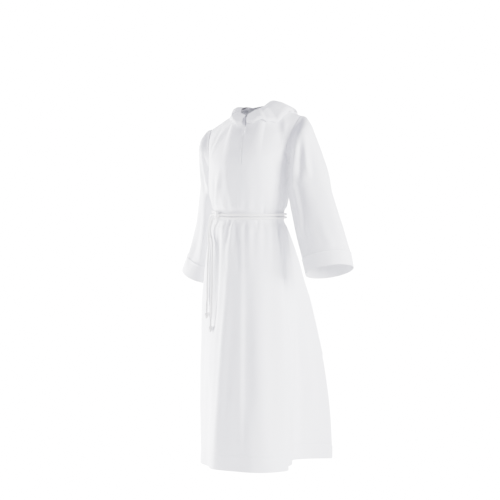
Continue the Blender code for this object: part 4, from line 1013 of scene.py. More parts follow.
@functools.lru_cache(maxsize=None)
def hood_points():
    """Outer points of the hood: rows from the neckline to the fold and back to the face edge."""
    robe = grid_tree(panel("front")[0], panel("back")[0])
    angles = list(HOOD_ANGLES) + [-angle for angle in HOOD_ANGLES[-2::-1]]
    grid = []
    for angle in angles:
        fold, edge, gape = hood_sizes(angle)
        column = neck_column(angle)
        root = body_point(column, 2.0) + body_normal(column, 2.0) * 0.0004
        section = [root]
        hanging = smooth((abs(angle) - 96) / 30)
        for share in (0.25, 0.6, 1.0):
            straight = root + (fold - root) * share
            below = robe.ray_cast(Vector((straight[0], straight[1], 0.3)), Vector((0, 0, -1)))[0]
            lying = np.array(below) if below is not None else straight
            section.append(lift(robe, lying + (straight - lying) * hanging, HOOD_CLEAR))
        last, before = section[3], section[2]
        normal = np.array(robe.find_nearest(Vector(last))[1])
        away = last - before
        away = unit(away - normal * np.dot(away, normal))
        upper = last + normal * gape
        section += [last + away * gape * 0.45 + normal * gape * 0.5, upper]
        for share in (0.33, 0.67):
            swell = normal * gape * 0.5 * math.sin(math.pi * share)
            section.append(upper + (edge - upper) * share + swell)
        section.append(edge)
        grid.append(section)
    coarse = np.array(grid).swapaxes(0, 1)
    marks = [row / HOOD_ROWS_FOR_EACH for row in range(8 * HOOD_ROWS_FOR_EACH + 1)]
    fine = along_rings(coarse, marks)
    columns = [place / 3 for place in range(3 * (len(angles) - 1) + 1)]
    fine = along_rings(fine.swapaxes(0, 1), columns)
    fine = fine.swapaxes(0, 1)
    under_rows = 3 * HOOD_ROWS_FOR_EACH + 2
    for row in range(1, under_rows):
        for column in range(fine.shape[1]):
            fine[row, column] = lift(robe, fine[row, column], HOOD_LEAST_CLEAR)
    under = grid_tree(fine[:under_rows, ::-1])
    for row in range(under_rows + 4, fine.shape[0]):
        for column in range(fine.shape[1]):
            fine[row, column] = lift(under, fine[row, column], HOOD_LAYER_GAP)
    return fine


def build_hood(finish):
    """The hood as one sheet from one side of the zip round the back of the neck to the other."""
    points = hood_points()
    normals = unit(np.cross(np.gradient(points, axis=1), np.gradient(points, axis=0)))
    move = undulate(points, 0.035, 0.0022, 7.0)
    edge = np.linalg.norm(points - points[-1], axis=2)
    root = np.linalg.norm(points - points[0], axis=2)
    move *= np.clip(root / 0.02, 0, 1) * np.clip(edge / 0.02 + 0.4, 0, 1)
    move -= 0.0006 * np.exp(-((edge - 0.012) / 0.0014) ** 2)
    outer = points + normals * move[:, :, None]
    cloth = settings().cloth
    thick = np.where(edge < 0.0125, cloth * HOOD_EDGE_TURNED, cloth)[:, :, None]
    inner = outer - normals * thick
    uvs = [tuple(uv) for uv in cloth_uvs(outer)]
    return build_shell("hood_cloth", outer.reshape(-1, 3), inner.reshape(-1, 3),
                       grid_quads(*outer.shape[:2]), uvs, finish)


# ---- cord ----------------------------------------------------------------------------------
def frames_along(path):
    """Tangent, side and up directions along a path that turn as little as possible."""
    path = np.asarray(path)
    tangents = unit(np.gradient(path, axis=0))
    side = unit(np.cross(tangents[0], [0.31, 0.17, 0.93]))
    sides = [side]
    for before, after in zip(tangents, tangents[1:]):
        axis = np.cross(before, after)
        size = np.linalg.norm(axis)
        if size > 1e-9:
            turn = Matrix.Rotation(math.atan2(size, float(np.dot(before, after))), 3, Vector(axis / size))
            side = np.array(turn @ Vector(side))
        side = unit(side - after * np.dot(side, after))
        sides.append(side)
    sides = np.array(sides)
    return tangents, sides, np.cross(tangents, sides)


def evenly(path, step):
    """Points on a smooth curve through a path, about one step apart."""
    path = np.asarray(path, float)
    marks = np.linspace(0, len(path) - 1, len(path) * 12)
    dense = np.array([through(path, mark) for mark in marks])
    lengths = lengths_along(dense)
    count = max(3, round(lengths[-1] / step))
    wanted = np.linspace(0, lengths[-1], count + 1)
    return at_lengths(dense, lengths, wanted)


def build_rope(name, path, radii, finish, strands=3, lay=0.021, sides=24, phase=0.0):
    """A laid cord: strands twisted round each other, drawn as one lobed tube with round ends."""
    path = np.asarray(path)
    _, side, up = frames_along(path)
    travelled = lengths_along(path)
    radii = np.broadcast_to(radii, (len(path),))
    around = np.arange(sides) * 2 * math.pi / sides
    twist = 2 * math.pi * travelled / lay + phase
    lobe = np.abs(np.cos(strands * (around[None] - twist[:, None]) / 2))
    shape = 0.84 + 0.17 * lobe ** 0.8
    ring = shape * radii[:, None]
    points = (path[:, None] + side[:, None] * (ring * np.cos(around))[:, :, None]
              + up[:, None] * (ring * np.sin(around))[:, :, None])
    rows = len(path)
    faces = grid_quads(rows, sides, closed=True, flip=True)
    vertices = [tuple(p) for p in points.reshape(-1, 3)]
    ends = (len(vertices), len(vertices) + 1)
    vertices += [tuple(path[0] - unit(path[1] - path[0]) * radii[0] * 0.25),
                 tuple(path[-1] + unit(path[-1] - path[-2]) * radii[-1] * 0.25)]
    last = (rows - 1) * sides
    for index in range(sides):
        beside = (index + 1) % sides
        faces.append((ends[0], index, beside))
        faces.append((ends[1], last + beside, last + index))
    mesh = bpy.data.meshes.new(name)
    mesh.from_pydata(vertices, [], faces)
    layer = mesh.uv_layers.new(name="cord")
    places = [(travelled[row], (around[column] - twist[row]) / (2 * math.pi))
              for row in range(rows) for column in range(sides)]
    places += [(travelled[0], 0.0), (travelled[-1], 0.0)]
    uvs = []
    for face in faces:
        turns = [places[i] for i in face]
        base = turns[0][1]
        for length, turn in turns:
            uvs.append((length, turn - round(turn - base)))
    layer.data.foreach_set("uv", np.array(uvs, float).reshape(-1))
    face_outwards(mesh)
    return link_piece(name, mesh, finish)


def belt_place(angle, height, off):
    """A point beside the belt: an angle in degrees, a height, and cord radii off the cloth."""
    _, _, half_width, front, back, _, shift_x = TORSO[0]
    turn = math.radians(angle)
    grown = ROPE / 2 * off + BELT_CLEAR
    depth = (SIDE_Y - front if math.cos(turn) > 0 else back - SIDE_Y) + grown
    return np.array([shift_x + (half_width + grown) * math.sin(turn),
                     SIDE_Y - depth * math.cos(turn), BELT_Z + height])


def waist_route():
    """The doubled cord round the waist, from one end of the hitch round the fold to the other."""
    upper = [tuple(row) for row in UPPER_HALF]
    lower = [(angle, -height, off) for angle, height, off in UPPER_HALF]
    around = [(-125.0 - 30.0 * step, TURN_RISE, 1.0) for step in range(8)]
    upper_loop = upper + around + [(angle - 360, height, off) for angle, height, off in UPPER_END]
    lower_loop = lower + [(angle, -height, off) for angle, height, off in around]
    lower_loop = lower_loop + [(angle - 360, height, off) for angle, height, off in LOWER_END]
    rows = np.array(upper_loop[::-1] + lower_loop[1:], float)
    marks = np.linspace(0, len(rows) - 1, 1600)
    dense = np.array([belt_place(*through(rows, mark)) for mark in marks])
    lengths = lengths_along(dense)
    wanted = np.linspace(0, lengths[-1], round(lengths[-1] / 0.0011))
    return at_lengths(dense, lengths, wanted)


# The two hanging ends of the cord, from the hitch down.
LEFT_END = (
    # x        y        z
    (-0.1050, -0.0889, -0.3206), (-0.1064, -0.0890, -0.3272), (-0.1041, -0.0914, -0.3435),
    (-0.0970, -0.0969, -0.3598), (-0.0919, -0.1014, -0.3761), (-0.0915, -0.1029, -0.3924),
    (-0.0912, -0.1043, -0.4087), (-0.0907, -0.1055, -0.4250), (-0.0904, -0.1068, -0.4413),
    (-0.0900, -0.1082, -0.4575), (-0.0896, -0.1095, -0.4738), (-0.0891, -0.1108, -0.4901),
    (-0.0887, -0.1122, -0.5064), (-0.0882, -0.1136, -0.5227), (-0.0877, -0.1150, -0.5390),
    (-0.0873, -0.1164, -0.5553), (-0.0868, -0.1179, -0.5716), (-0.0870, -0.1201, -0.5879),
    (-0.0873, -0.1225, -0.6041), (-0.0870, -0.1243, -0.6204),
)
RIGHT_END = (
    # x        y        z
    (-0.1199, -0.0695, -0.3196), (-0.1213, -0.0693, -0.3262), (-0.1197, -0.0729, -0.3422),
    (-0.1155, -0.0823, -0.3581), (-0.1114, -0.0873, -0.3741), (-0.1120, -0.0887, -0.3900),
    (-0.1125, -0.0899, -0.4060), (-0.1129, -0.0911, -0.4219), (-0.1131, -0.0924, -0.4379),
    (-0.1131, -0.0936, -0.4538), (-0.1129, -0.0948, -0.4698), (-0.1126, -0.0959, -0.4857),
    (-0.1122, -0.0970, -0.5017), (-0.1117, -0.0981, -0.5176), (-0.1113, -0.0992, -0.5336),
    (-0.1112, -0.1012, -0.5495), (-0.1112, -0.1033, -0.5655), (-0.1107, -0.1048, -0.5814),
)


def knot_path(above):
    """Three close turns of the cord round itself, then the short end that comes out below."""
    rows = []
    for index in range(61):
        share = index / 60
        turn = 2 * math.pi * 3 * share
        rows.append((above[0] + 0.0037 * math.cos(turn), above[1] + 0.0037 * math.sin(turn),
                     above[2] - 0.0034 - 0.0100 * share))
    return rows


def build_knot(name, above, finish):
    """A barrel knot with a short frayed end."""
    path = evenly(knot_path(above), 0.0008)
    knot = build_rope(name, path, 0.0026, finish, lay=0.011, sides=14)
    core = evenly([(above[0], above[1], above[2] - 0.0012 - 0.0023 * step) for step in range(9)], 0.0010)
    radii = [0.0034 + 0.0006 * smooth((above[2] - place[2] - 0.016) / 0.006) for place in core]
    end = build_rope(name + "_core", core, radii, finish, lay=0.019, sides=18)
    bpy.ops.object.select_all(action="DESELECT")
    knot.select_set(True)
    end.select_set(True)
    bpy.context.view_layer.objects.active = knot
    bpy.ops.object.join()
    return knot


@functools.lru_cache(maxsize=None)
def cord_material():
    """White cotton cord, three strands laid together: matt, with fine yarns along each strand."""
    made, tree, shader = new_material("laid_cotton_cord")
    place = add_node(tree, "ShaderNodeUVMap", uv_map="cord").outputs["UV"]
    yarns = add_node(tree, "ShaderNodeMapping", {"Vector": place, "Scale": (650, 26, 1)}).outputs[0]
    wave = add_node(tree, "ShaderNodeTexWave", {"Vector": yarns, "Scale": 0.32, "Distortion": 0.8,
                                                "Detail": 1.0},
                    wave_type="BANDS", bands_direction="DIAGONAL").outputs["Fac"]
    bump = add_node(tree, "ShaderNodeBump", {"Strength": 0.4, "Distance": 0.0003, "Height": wave})
    tree.links.new(bump.outputs[0], shader.inputs["Normal"])
    tint = bpy.context.scene.alb_colours.cord
    shade = add_node(tree, "ShaderNodeMix", {"Factor": wave, "A": (*[c * 0.97 for c in tint], 1),
                                             "B": (*tint, 1)}, data_type="RGBA")
    tree.links.new(shade.outputs["Result"], shader.inputs["Base Color"])
    shader.inputs["Roughness"].default_value = 0.8
    shader.inputs["Specular IOR Level"].default_value = 0.3
    shader.inputs["Sheen Weight"].default_value = 0.15
    return made


# ---- zip -----------------------------------------------------------------------------------
def zip_place(rise, across, behind):
    """A point beside the zip on the front: a share of the yoke's rise, metres across, metres in."""
    points, normals, _ = panel("front")
    row = UNDERARM_ROW + rise * YOKE_ROWS
    low = min(int(row), TOP_ROW - 1)
    part = row - low
    line = points[low] * (1 - part) + points[low + 1] * part
    facing = normals[low] * (1 - part) + normals[low + 1] * part
    place = lengths_along(line)
    place = place - place[CENTRE_COLUMN]
    normal = unit(at_lengths(facing, place, across))
    return at_lengths(line, place, across) - normal * behind, normal


# Heights on the zip are shares of the yoke's rise, which the slit's widths cut in equal steps.
SLIT_STEPS = len(SLIT_HALF_WIDTHS) - 1
SLIDER_RISE = 6.5 / SLIT_STEPS
SLIT_TOP = 1 - 0.06 / SLIT_STEPS
PLACKET_FOOT = 0.2 / SLIT_STEPS
PLACKET_STITCH = 0.0055     # from the slit's edge to its stitches
PLACKET_HALF = 0.007        # half of the line of stitches across the foot
THREAD_DEPTH = -0.0001      # the stitches, behind the front's face: just proud of it
TAPE_WIDTH = 0.0115
TAPE_DEPTH = 0.0019         # the tape's face, behind the front's
TAPE_THICK = 0.0006
TEETH_DEPTH = 0.0009        # the teeth's middle, behind the front's face
TEETH_APART = 0.00055       # from the closed zip's middle to a row of teeth
TOOTH_PITCH = 0.0012


def slit_half(rise):
    """Half of the slit's width at a share of the yoke's rise."""
    return float(np.interp(rise * SLIT_STEPS, range(len(SLIT_HALF_WIDTHS)), SLIT_HALF_WIDTHS))


def chain_shift(rise):
    """How far each half of the chain stands from the middle: together below the slider, parted above."""
    return max(0.0, slit_half(rise) - 0.0016) * smooth((rise - SLIDER_RISE) / 0.06)


def build_tape(name, side, finish):
    """One woven tape of the zip, behind one edge of the slit."""
    rises = np.linspace(-0.30 / SLIT_STEPS, SLIT_TOP, 60)
    inner_edge = np.array([0.00015 + chain_shift(rise) for rise in rises])
    shares = (0.0, 0.08, 0.35, 0.7, 0.95, 1.0)
    outer, inner = [], []
    for rise, edge in zip(rises, inner_edge):
        row = [zip_place(rise, side * (edge + (TAPE_WIDTH - edge) * share), TAPE_DEPTH) for share in shares]
        outer.append([point for point, _ in row])
        inner.append([point - normal * TAPE_THICK for point, normal in row])
    outer, inner = np.array(outer), np.array(inner)
    quads = grid_quads(*outer.shape[:2], flip=side < 0)
    uvs = [tuple(uv) for uv in cloth_uvs(outer, 0)]
    return build_shell(name, outer.reshape(-1, 3), inner.reshape(-1, 3), quads, uvs, finish)


def placed(right, up, out, point):
    """A matrix that turns a small piece to three directions and moves it to a point."""
    matrix = Matrix((Vector(right), Vector(up), Vector(out))).transposed().to_4x4()
    matrix.translation = Vector(point)
    return matrix


def copies(name, master, matrices, finish):
    """One mesh made of copies of a small mesh."""
    points, faces = [], []
    base = np.array([list(v.co) for v in master.vertices])
    polygons = [tuple(p.vertices) for p in master.polygons]
    for matrix in matrices:
        start = len(points)
        turn = np.array(matrix)
        points.extend(map(tuple, base @ turn[:3, :3].T + turn[:3, 3]))
        faces.extend(tuple(i + start for i in face) for face in polygons)
    mesh = bpy.data.meshes.new(name)
    mesh.from_pydata(points, [], faces)
    return link_piece(name, mesh, finish)


def primitive(kind, **values):
    """A new primitive with everything else deselected."""
    bpy.ops.object.select_all(action="DESELECT")
    getattr(bpy.ops.mesh, kind)(**values)
    return bpy.context.object


def settle_place(piece):
    """Put a piece's place into its mesh."""
    bpy.context.view_layer.update()
    piece.data.transform(piece.matrix_world)
    piece.matrix_world = Matrix.Identity(4)


def round_edges(piece, offset):
    """Bevel every edge of a primitive and give its mesh, without its object."""
    settle_place(piece)
    bpy.ops.object.mode_set(mode="EDIT")
    bpy.ops.mesh.select_all(action="SELECT")
    bpy.ops.mesh.bevel(offset=offset, segments=2)
    bpy.ops.object.mode_set(mode="OBJECT")
    mesh = piece.data
    bpy.data.objects.remove(piece)
    return mesh


def tooth_mesh():
    """One nylon tooth: a rounded bar with a swollen head towards the middle of the zip."""
    piece = primitive("primitive_cube_add", size=1)
    piece.scale = (0.0019, 0.00072, 0.0013)
    mesh = round_edges(piece, 0.00022)
    for vertex in mesh.vertices:
        if vertex.co.x < 0:
            vertex.co.y *= 1.15
            vertex.co.z *= 1.1
    return mesh


def build_teeth(name, side, finish):
    """The teeth of one side of the zip."""
    master = tooth_mesh()
    rises = np.linspace(0.45 / SLIT_STEPS, SLIT_TOP, 900)
    line = np.array([zip_place(rise, 0.0, TEETH_DEPTH)[0] for rise in rises])
    lengths = lengths_along(line)
    matrices = []
    for mark in np.arange(TOOTH_PITCH / 2 * (1 + side) / 2, lengths[-1], TOOTH_PITCH):
        rise = float(np.interp(mark, lengths, rises))
        point, normal = zip_place(rise, side * (TEETH_APART + chain_shift(rise)), TEETH_DEPTH)
        higher = min(rise + 0.01, SLIT_TOP)
        above, _ = zip_place(higher, side * (TEETH_APART + chain_shift(higher)), TEETH_DEPTH)
        up = unit(above - point) if rise < SLIT_TOP - 0.011 else up
        out = unit(normal - up * np.dot(normal, up))
        right = np.cross(up, out) * side
        matrices.append(placed(right, up, out, point))
    made = copies(name, master, matrices, finish)
    face_outwards(made.data)
    return made


@functools.lru_cache(maxsize=None)
def nylon_material():
    """White moulded nylon: smooth and slightly waxy."""
    made, tree, shader = new_material("moulded_white_nylon")
    place = add_node(tree, "ShaderNodeTexCoord").outputs["Object"]
    grain = add_node(tree, "ShaderNodeTexNoise", {"Vector": place, "Scale": 1500.0,
                                                  "Detail": 2.0}).outputs["Fac"]
    bump = add_node(tree, "ShaderNodeBump", {"Strength": 0.2, "Distance": 0.00003, "Height": grain})
    tree.links.new(bump.outputs[0], shader.inputs["Normal"])
    tint = bpy.context.scene.alb_colours.zip
    shade = add_node(tree, "ShaderNodeMix", {"Factor": grain, "A": (*[c * 0.95 for c in tint], 1),
                                             "B": (*tint, 1)}, data_type="RGBA")
    tree.links.new(shade.outputs["Result"], shader.inputs["Base Color"])
    shader.inputs["Roughness"].default_value = 0.38
    shader.inputs["IOR"].default_value = 1.53
    return made


# ---- stitches ------------------------------------------------------------------------------
def stitch_mesh(length, width):
    """One machine stitch: a short thread with its ends sunk in the cloth."""
    piece = primitive("primitive_cylinder_add", vertices=8, radius=width, depth=length,
                      rotation=(0, math.pi / 2, 0))
    mesh = round_edges(piece, width * 0.45)
    for vertex in mesh.vertices:
        vertex.co.z *= 0.7
    return mesh


def build_stitches(name, lines, finish, length=0.0026, gap=0.0009, width=0.00036):
    """Straight machine stitches along lines of points and normals on the cloth."""
    master = stitch_mesh(length, width)
    matrices = []
    for line, normals in lines:
        lengths = lengths_along(line)
        for mark in np.arange(length / 2, lengths[-1] - length / 2, length + gap):
            before, point, after = at_lengths(line, lengths, mark + length * np.array([-0.4, 0.0, 0.4]))
            ahead = unit(after - before)
            normal = unit(at_lengths(normals, lengths, mark))
            normal = unit(normal - ahead * np.dot(normal, ahead))
            matrices.append(placed(ahead, np.cross(normal, ahead), normal, point + normal * width * 0.25))
    return copies(name, master, matrices, finish)


@functools.lru_cache(maxsize=None)
def thread_material():
    """White polyester sewing thread with a slight shine."""
    made, tree, shader = new_material("spun_polyester_thread")
    place = add_node(tree, "ShaderNodeTexCoord").outputs["Object"]
    twist = add_node(tree, "ShaderNodeTexNoise", {"Vector": place, "Scale": 2200.0,
                                                  "Detail": 1.0}).outputs["Fac"]
    bump = add_node(tree, "ShaderNodeBump", {"Strength": 0.4, "Distance": 0.00008, "Height": twist})
    tree.links.new(bump.outputs[0], shader.inputs["Normal"])
    shader.inputs["Base Color"].default_value = (*bpy.context.scene.alb_colours.thread, 1)
    shader.inputs["Roughness"].default_value = 0.55
    return made


def row_round(grid, row):
    """A row of a closed grid as a line of points that ends where it starts."""
    line = grid[row]
    return np.concatenate([line, line[:1]])


# ---- materials -----------------------------------------------------------------------------
def add_node(tree, kind, inputs=None, **values):
    """Add a shader node with its settings; inputs are values or sockets to link from."""
    node = tree.nodes.new(kind)
    for key, value in values.items():
        setattr(node, key, value)
    for key, value in (inputs or {}).items():
        if isinstance(value, bpy.types.NodeSocket):
            tree.links.new(value, node.inputs[key])
        else:
            node.inputs[key].default_value = value
    return node


def new_material(name):
    """An empty material and its shader."""
    made = bpy.data.materials.new(name)
    made.use_nodes = True
    return made, made.node_tree, made.node_tree.nodes["Principled BSDF"]


THREADS_APART = 0.00035


@functools.lru_cache(maxsize=None)
def cloth_material():
    """Plain-woven white polyester and cotton: matt, slightly fuzzy, with slubs in its threads."""
    made, tree, shader = new_material("polyester_cotton_plain_weave")
    place = add_node(tree, "ShaderNodeUVMap", uv_map="cloth").outputs["UV"]
    # At scale 1 a wave texture repeats every 2 pi / 20 of a metre.
    pitch = 2 * math.pi / THREADS_APART / 20
    warp, weft = (
        add_node(tree, "ShaderNodeTexWave", {"Vector": place, "Scale": pitch, "Distortion": 0.0},
                 wave_type="BANDS", bands_direction=direction).outputs["Fac"]
        for direction in ("X", "Y"))
    weave = add_node(tree, "ShaderNodeMath", {0: warp, 1: weft}, operation="ADD").outputs[0]
    along = add_node(tree, "ShaderNodeMapping", {"Vector": place, "Scale": (900, 40, 1)}).outputs[0]
    across = add_node(tree, "ShaderNodeMapping", {"Vector": place, "Scale": (40, 900, 1)}).outputs[0]
    warp_slubs, weft_slubs = (
        add_node(tree, "ShaderNodeTexNoise", {"Vector": way, "Scale": 1.0, "Detail": 2.0}).outputs["Fac"]
        for way in (along, across))
    slubs = add_node(tree, "ShaderNodeMath", {0: warp_slubs, 1: weft_slubs}, operation="ADD").outputs[0]
    rumple = add_node(tree, "ShaderNodeTexNoise", {"Vector": place, "Scale": 38.0, "Detail": 4.0,
                                                   "Roughness": 0.45}).outputs["Fac"]
    fine = add_node(tree, "ShaderNodeBump", {"Strength": 0.35, "Distance": 0.00012, "Height": weave})
    slubby = add_node(tree, "ShaderNodeBump", {"Strength": 0.30, "Distance": 0.00025, "Height": slubs,
                                               "Normal": fine.outputs[0]})
    soft = add_node(tree, "ShaderNodeBump", {"Strength": 0.5, "Distance": 0.0012, "Height": rumple,
                                             "Normal": slubby.outputs[0]})
    tree.links.new(soft.outputs[0], shader.inputs["Normal"])
    tint = bpy.context.scene.alb_colours.cloth
    shade = add_node(tree, "ShaderNodeMix", {"Factor": slubs, "A": (*[c * 0.965 for c in tint], 1),
                                             "B": (*tint, 1)}, data_type="RGBA")
    tree.links.new(shade.outputs["Result"], shader.inputs["Base Color"])
    shader.inputs["Roughness"].default_value = 0.86
    shader.inputs["Specular IOR Level"].default_value = 0.25
    shader.inputs["Sheen Weight"].default_value = 0.18
    shader.inputs["Sheen Roughness"].default_value = 0.5
    return made


def stage_material():
    """Smooth white studio paper. Its glow is for the camera only, so that it stays pale."""
    made, tree, shader = new_material("white_studio_paper")
    shader.inputs["Base Color"].default_value = (*linear("F6F7F9"), 1)
    shader.inputs["Roughness"].default_value = 0.7
    seen = add_node(tree, "ShaderNodeLightPath").outputs["Is Camera Ray"]
    glow = add_node(tree, "ShaderNodeMath", {0: seen, 1: FLOOR_GLOW}, operation="MULTIPLY").outputs[0]
    light = add_node(tree, "ShaderNodeEmission", {"Strength": glow}).outputs[0]
    both = add_node(tree, "ShaderNodeAddShader", {0: shader.outputs[0], 1: light}).outputs[0]
    tree.links.new(both, tree.nodes["Material Output"].inputs["Surface"])
    return made


def studio_world():
    """A white backdrop that is bright to look at and gives a soft, slightly cool light."""
    world = bpy.data.worlds.new("studio")
    world.use_nodes = True
    tree = world.node_tree
    ambient = tree.nodes["Background"]
    ambient.inputs["Color"].default_value = (*linear("EAE8FF"), 1)
    ambient.inputs["Strength"].default_value = AMBIENT
    seen = add_node(tree, "ShaderNodeLightPath").outputs["Is Camera Ray"]
    backdrop = add_node(tree, "ShaderNodeBackground", {"Color": (1, 1, 1, 1),
                                                       "Strength": BACKDROP}).outputs[0]
    both = add_node(tree, "ShaderNodeMixShader", {0: seen, 1: ambient.outputs[0], 2: backdrop}).outputs[0]
    tree.links.new(both, tree.nodes["World Output"].inputs["Surface"])
    return world


def finish_piece(piece, body, slot, *nodes):
    """Ride a piece on its body and let it stand for its nodes. The slot is not used."""
    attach(piece, body)
    if nodes:
        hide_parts(*nodes)


# ---- operators -----------------------------------------------------------------------------
class AlbSizes(bpy.types.PropertyGroup):
    """Sizes of the alb's cloth and cord."""

    cloth: FloatProperty(name="Cloth", description="Thickness of the cloth", default=0.0011,
                         min=0.0004, max=0.0016, unit="LENGTH")
    crease_strength: FloatProperty(name="Creases", description="Share of the creases' full depth",
                                   default=1.0, min=0.0, max=1.3, subtype="FACTOR")


class AlbColours(bpy.types.PropertyGroup):
    """Colours of the alb's cloth, cord and zip."""

    cloth: FloatVectorProperty(name="Cloth", description="White of the cloth", default=linear("F3F3F6"),
                               min=0.0, max=1.0, subtype="COLOR")
    cord: FloatVectorProperty(name="Cord", description="White of the cincture", default=linear("FBFAF7"),
                              min=0.0, max=1.0, subtype="COLOR")
    zip: FloatVectorProperty(name="Zip", description="White of the zip's nylon", default=linear("ECECF0"),
                             min=0.0, max=1.0, subtype="COLOR")
    thread: FloatVectorProperty(name="Thread", description="White of the sewing thread",
                                default=linear("F2F2F4"), min=0.0, max=1.0, subtype="COLOR")


# Width and length of each sheet laid flat, and its area.
SLEEVE_LEFT_FLAT, SLEEVE_LEFT_AREA = (0.43, 0.50), 0.172
SLEEVE_RIGHT_FLAT, SLEEVE_RIGHT_AREA = (0.35, 0.49), 0.132


class ALB_OT_body(bpy.types.Operator):
    """Make the front and the back of the alb."""

    bl_idname = "alb.body"
    bl_label = "Front and back"

    def execute(self, context):
        finish = cloth_material()
        front = build_front(finish)
        finish_piece(front, BODY, "cloth", "front")
        back = build_back(finish)
        finish_piece(back, BODY, "cloth", "back")
        return {"FINISHED"}


class ALB_OT_sleeves(bpy.types.Operator):
    """Make the two wide sleeves."""

    bl_idname = "alb.sleeves"
    bl_label = "Sleeves"

    def execute(self, context):
        for name, side, node, flat, area in (
            ("sleeve_left_cloth", 1, "sleeve_left", SLEEVE_LEFT_FLAT, SLEEVE_LEFT_AREA),
            ("sleeve_right_cloth", -1, "sleeve_right", SLEEVE_RIGHT_FLAT, SLEEVE_RIGHT_AREA),
        ):
            sleeve = build_sleeve(name, side, cloth_material())
            finish_piece(sleeve, BODY, "cloth", node)
        return {"FINISHED"}


class ALB_OT_hood(bpy.types.Operator):
    """Make the hood that lies back round the neck."""

    bl_idname = "alb.hood"
    bl_label = "Hood"

    def execute(self, context):
        hood = build_hood(cloth_material())
        finish_piece(hood, BODY, "cloth", "hood")
        return {"FINISHED"}


class ALB_OT_zip(bpy.types.Operator):
    """Make the neck zip's tapes and teeth, and give its slider and pull the nylon finish."""

    bl_idname = "alb.zip"
    bl_label = "Zip"

    def execute(self, context):
        finish = nylon_material()
        for name, side in (("zip_tape_left", 1), ("zip_tape_right", -1)):
            tape = build_tape(name, side, cloth_material())
            finish_piece(tape, BODY, "tape", "zip_tape")
        for name, side in (("zip_teeth_left", 1), ("zip_teeth_right", -1)):
            finish_piece(build_teeth(name, side, finish), BODY, "zip", "zip_chain")
        for node in ("zip_slider", "zip_pull"):
            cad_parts[node].data.materials.clear()
            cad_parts[node].data.materials.append(finish)
        return {"FINISHED"}


class ALB_OT_cincture(bpy.types.Operator):
    """Make the cincture: two rounds of cord, a hitch and two hanging ends with knots."""

    bl_idname = "alb.cincture"
    bl_label = "Cincture"

    def execute(self, context):
        finish = cord_material()
        waist = build_rope("cincture_cord_waist", waist_route(), ROPE / 2, finish, sides=20)
        finish_piece(waist, BODY, "cord", "cincture_waist")
        for name, table, node, knot_node in (
            ("cincture_cord_left", LEFT_END, "cincture_end_left", "cincture_knot_left"),
            ("cincture_cord_right", RIGHT_END, "cincture_end_right", "cincture_knot_right"),
        ):
            route = evenly(table, 0.0012)
            cord = build_rope(name, route, ROPE / 2, finish)
            finish_piece(cord, BODY, "cord", node)
            knot = build_knot(name.replace("cord", "barrel_knot"), table[-1], finish)
            finish_piece(knot, BODY, "cord", knot_node)
        return {"FINISHED"}


class ALB_OT_stitching(bpy.types.Operator):
    """Sew the hems, the cuffs and the zip's placket."""

    bl_idname = "alb.stitching"
    bl_label = "Stitching"

    def execute(self, context):
        finish = thread_material()
        hem_row = HEM_FROM_EDGE.index(HEM_STITCH)
        for name in ("front", "back"):
            outer, _, normals = panel_sheet(name)
            piece = build_stitches(f"hem_stitches_{name}", [(outer[hem_row], normals[hem_row])], finish)
            finish_piece(piece, BODY, "cloth")
        for name, side in (("left", 1), ("right", -1)):
            outer, _ = sleeve_sheet(side)
            _, normals, marks = sleeve_points(side)
            row = int(np.argmin(np.abs(np.array(marks) - CUFF_BAND)))
            line = row_round(outer, row)
            piece = build_stitches(f"cuff_stitches_{name}", [(line, row_round(normals, row))], finish)
            finish_piece(piece, BODY, "cloth")
        rises = np.linspace(PLACKET_FOOT, SLIT_TOP, 120)
        lines = []
        for side in (1, -1):
            places = [zip_place(rise, side * (slit_half(rise) + PLACKET_STITCH), THREAD_DEPTH)
                      for rise in rises]
            lines.append((np.array([p for p, _ in places]), np.array([n for _, n in places])))
        foot = [zip_place(PLACKET_FOOT, across, THREAD_DEPTH)
                for across in np.linspace(-PLACKET_HALF, PLACKET_HALF, 12)]
        lines.append((np.array([p for p, _ in foot]), np.array([n for _, n in foot])))
        finish_piece(build_stitches("placket_stitches", lines, finish), BODY, "cloth")
        return {"FINISHED"}


# Brightness of the paper and the backdrop as seen, and of the light that comes from all round.
FLOOR_GLOW = 16.0
BACKDROP = 20.0
AMBIENT = 1.08

FLOOR_Z = -1.10
FLOOR_SIZE = 14
# The camera: degrees round from the front, metres away and above the floor, and its focal
# length and the drop of its aim in pixels of a frame that is FRAME_PIXELS wide.
CAMERA_TURN = 27
CAMERA_AWAY = 6
CAMERA_ABOVE_FLOOR = 1.024
CAMERA_FORWARD = 0.03
FRAME_PIXELS = 500
FOCAL_PIXELS = 1967
AIM_DROP_PIXELS = 104
SENSOR_WIDTH = 36

SOFT_BOXES = (
    # name           place                target             size  watts
    ("left_window", (-3.2, -0.20, 0.2), (0.0, 0.0, -0.55), 1.4, 520),
    ("right_window", (3.5, -0.62, 0.3), (0.0, 0.0, -0.65), 1.4, 520),
    ("left_low", (-1.6, -0.15, -1.0), (-0.1, 0.0, -0.85), 0.5, 130),
    ("rear_window", (0.6, 3.8, 1.0), (0.0, 0.0, -0.50), 2.4, 230),
)


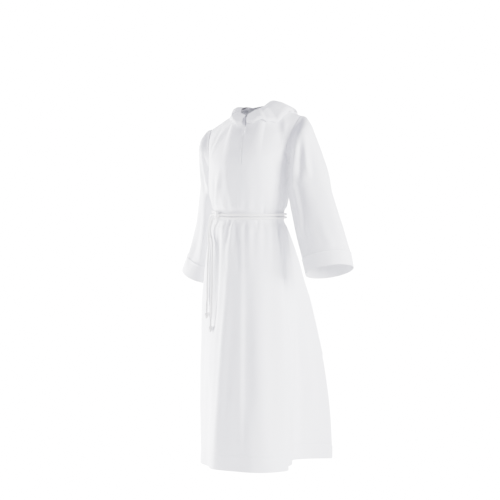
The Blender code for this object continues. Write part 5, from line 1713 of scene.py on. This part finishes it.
class ALB_OT_stage(bpy.types.Operator):
    """Make the floor, the lights and the camera."""

    bl_idname = "alb.stage"
    bl_label = "Floor, lights and camera"

    def execute(self, context):
        floor = primitive("primitive_plane_add", size=FLOOR_SIZE, location=(0, 0, FLOOR_Z))
        floor.name = "studio_floor"
        settle_place(floor)
        floor.data.materials.append(stage_material())
        context.scene.world = studio_world()
        for name, place, target, size, power in SOFT_BOXES:
            light = bpy.data.lights.new(name, "AREA")
            light.size = size
            light.energy = power
            lamp = bpy.data.objects.new(name, light)
            lamp.location = place
            lamp.rotation_euler = (Vector(target) - Vector(place)).to_track_quat("-Z", "Y").to_euler()
            context.scene.collection.objects.link(lamp)
        turn = math.radians(CAMERA_TURN)
        shot = bpy.data.cameras.new("camera")
        shot.sensor_width = SENSOR_WIDTH
        shot.lens = SENSOR_WIDTH * FOCAL_PIXELS / FRAME_PIXELS
        camera = bpy.data.objects.new("camera", shot)
        camera.location = (CAMERA_AWAY * math.sin(turn), -CAMERA_AWAY * math.cos(turn) - CAMERA_FORWARD,
                           CAMERA_ABOVE_FLOOR + FLOOR_Z)
        camera.rotation_euler = (math.radians(90) - math.atan(AIM_DROP_PIXELS / FOCAL_PIXELS), 0, turn)
        context.scene.collection.objects.link(camera)
        context.scene.camera = camera
        return {"FINISHED"}


CLASSES = (AlbSizes, AlbColours, ALB_OT_stage, ALB_OT_cincture, ALB_OT_body, ALB_OT_sleeves, ALB_OT_hood,
           ALB_OT_zip, ALB_OT_stitching)


class ALB_PT_panel(bpy.types.Panel):
    """The alb's sizes, colours and pieces."""

    bl_label = "Hooded alb"
    bl_idname = "ALB_PT_panel"
    bl_space_type = "VIEW_3D"
    bl_region_type = "UI"
    bl_category = "Alb"

    def draw(self, context):
        for group in (context.scene.alb_sizes, context.scene.alb_colours):
            for name in group.__annotations__:
                self.layout.prop(group, name)
        for made in CLASSES[2:]:
            self.layout.operator(made.bl_idname)


def register():
    for made in CLASSES + (ALB_PT_panel,):
        bpy.utils.register_class(made)
    bpy.types.Scene.alb_sizes = PointerProperty(type=AlbSizes)
    bpy.types.Scene.alb_colours = PointerProperty(type=AlbColours)


def unregister():
    del bpy.types.Scene.alb_sizes
    del bpy.types.Scene.alb_colours
    for made in reversed(CLASSES + (ALB_PT_panel,)):
        bpy.utils.unregister_class(made)


def main():
    register()
    bpy.ops.alb.stage()
    bpy.ops.alb.cincture()
    bpy.ops.alb.body()
    bpy.ops.alb.sleeves()
    bpy.ops.alb.hood()
    bpy.ops.alb.zip()
    bpy.ops.alb.stitching()


if __name__ == "__main__":
    main()
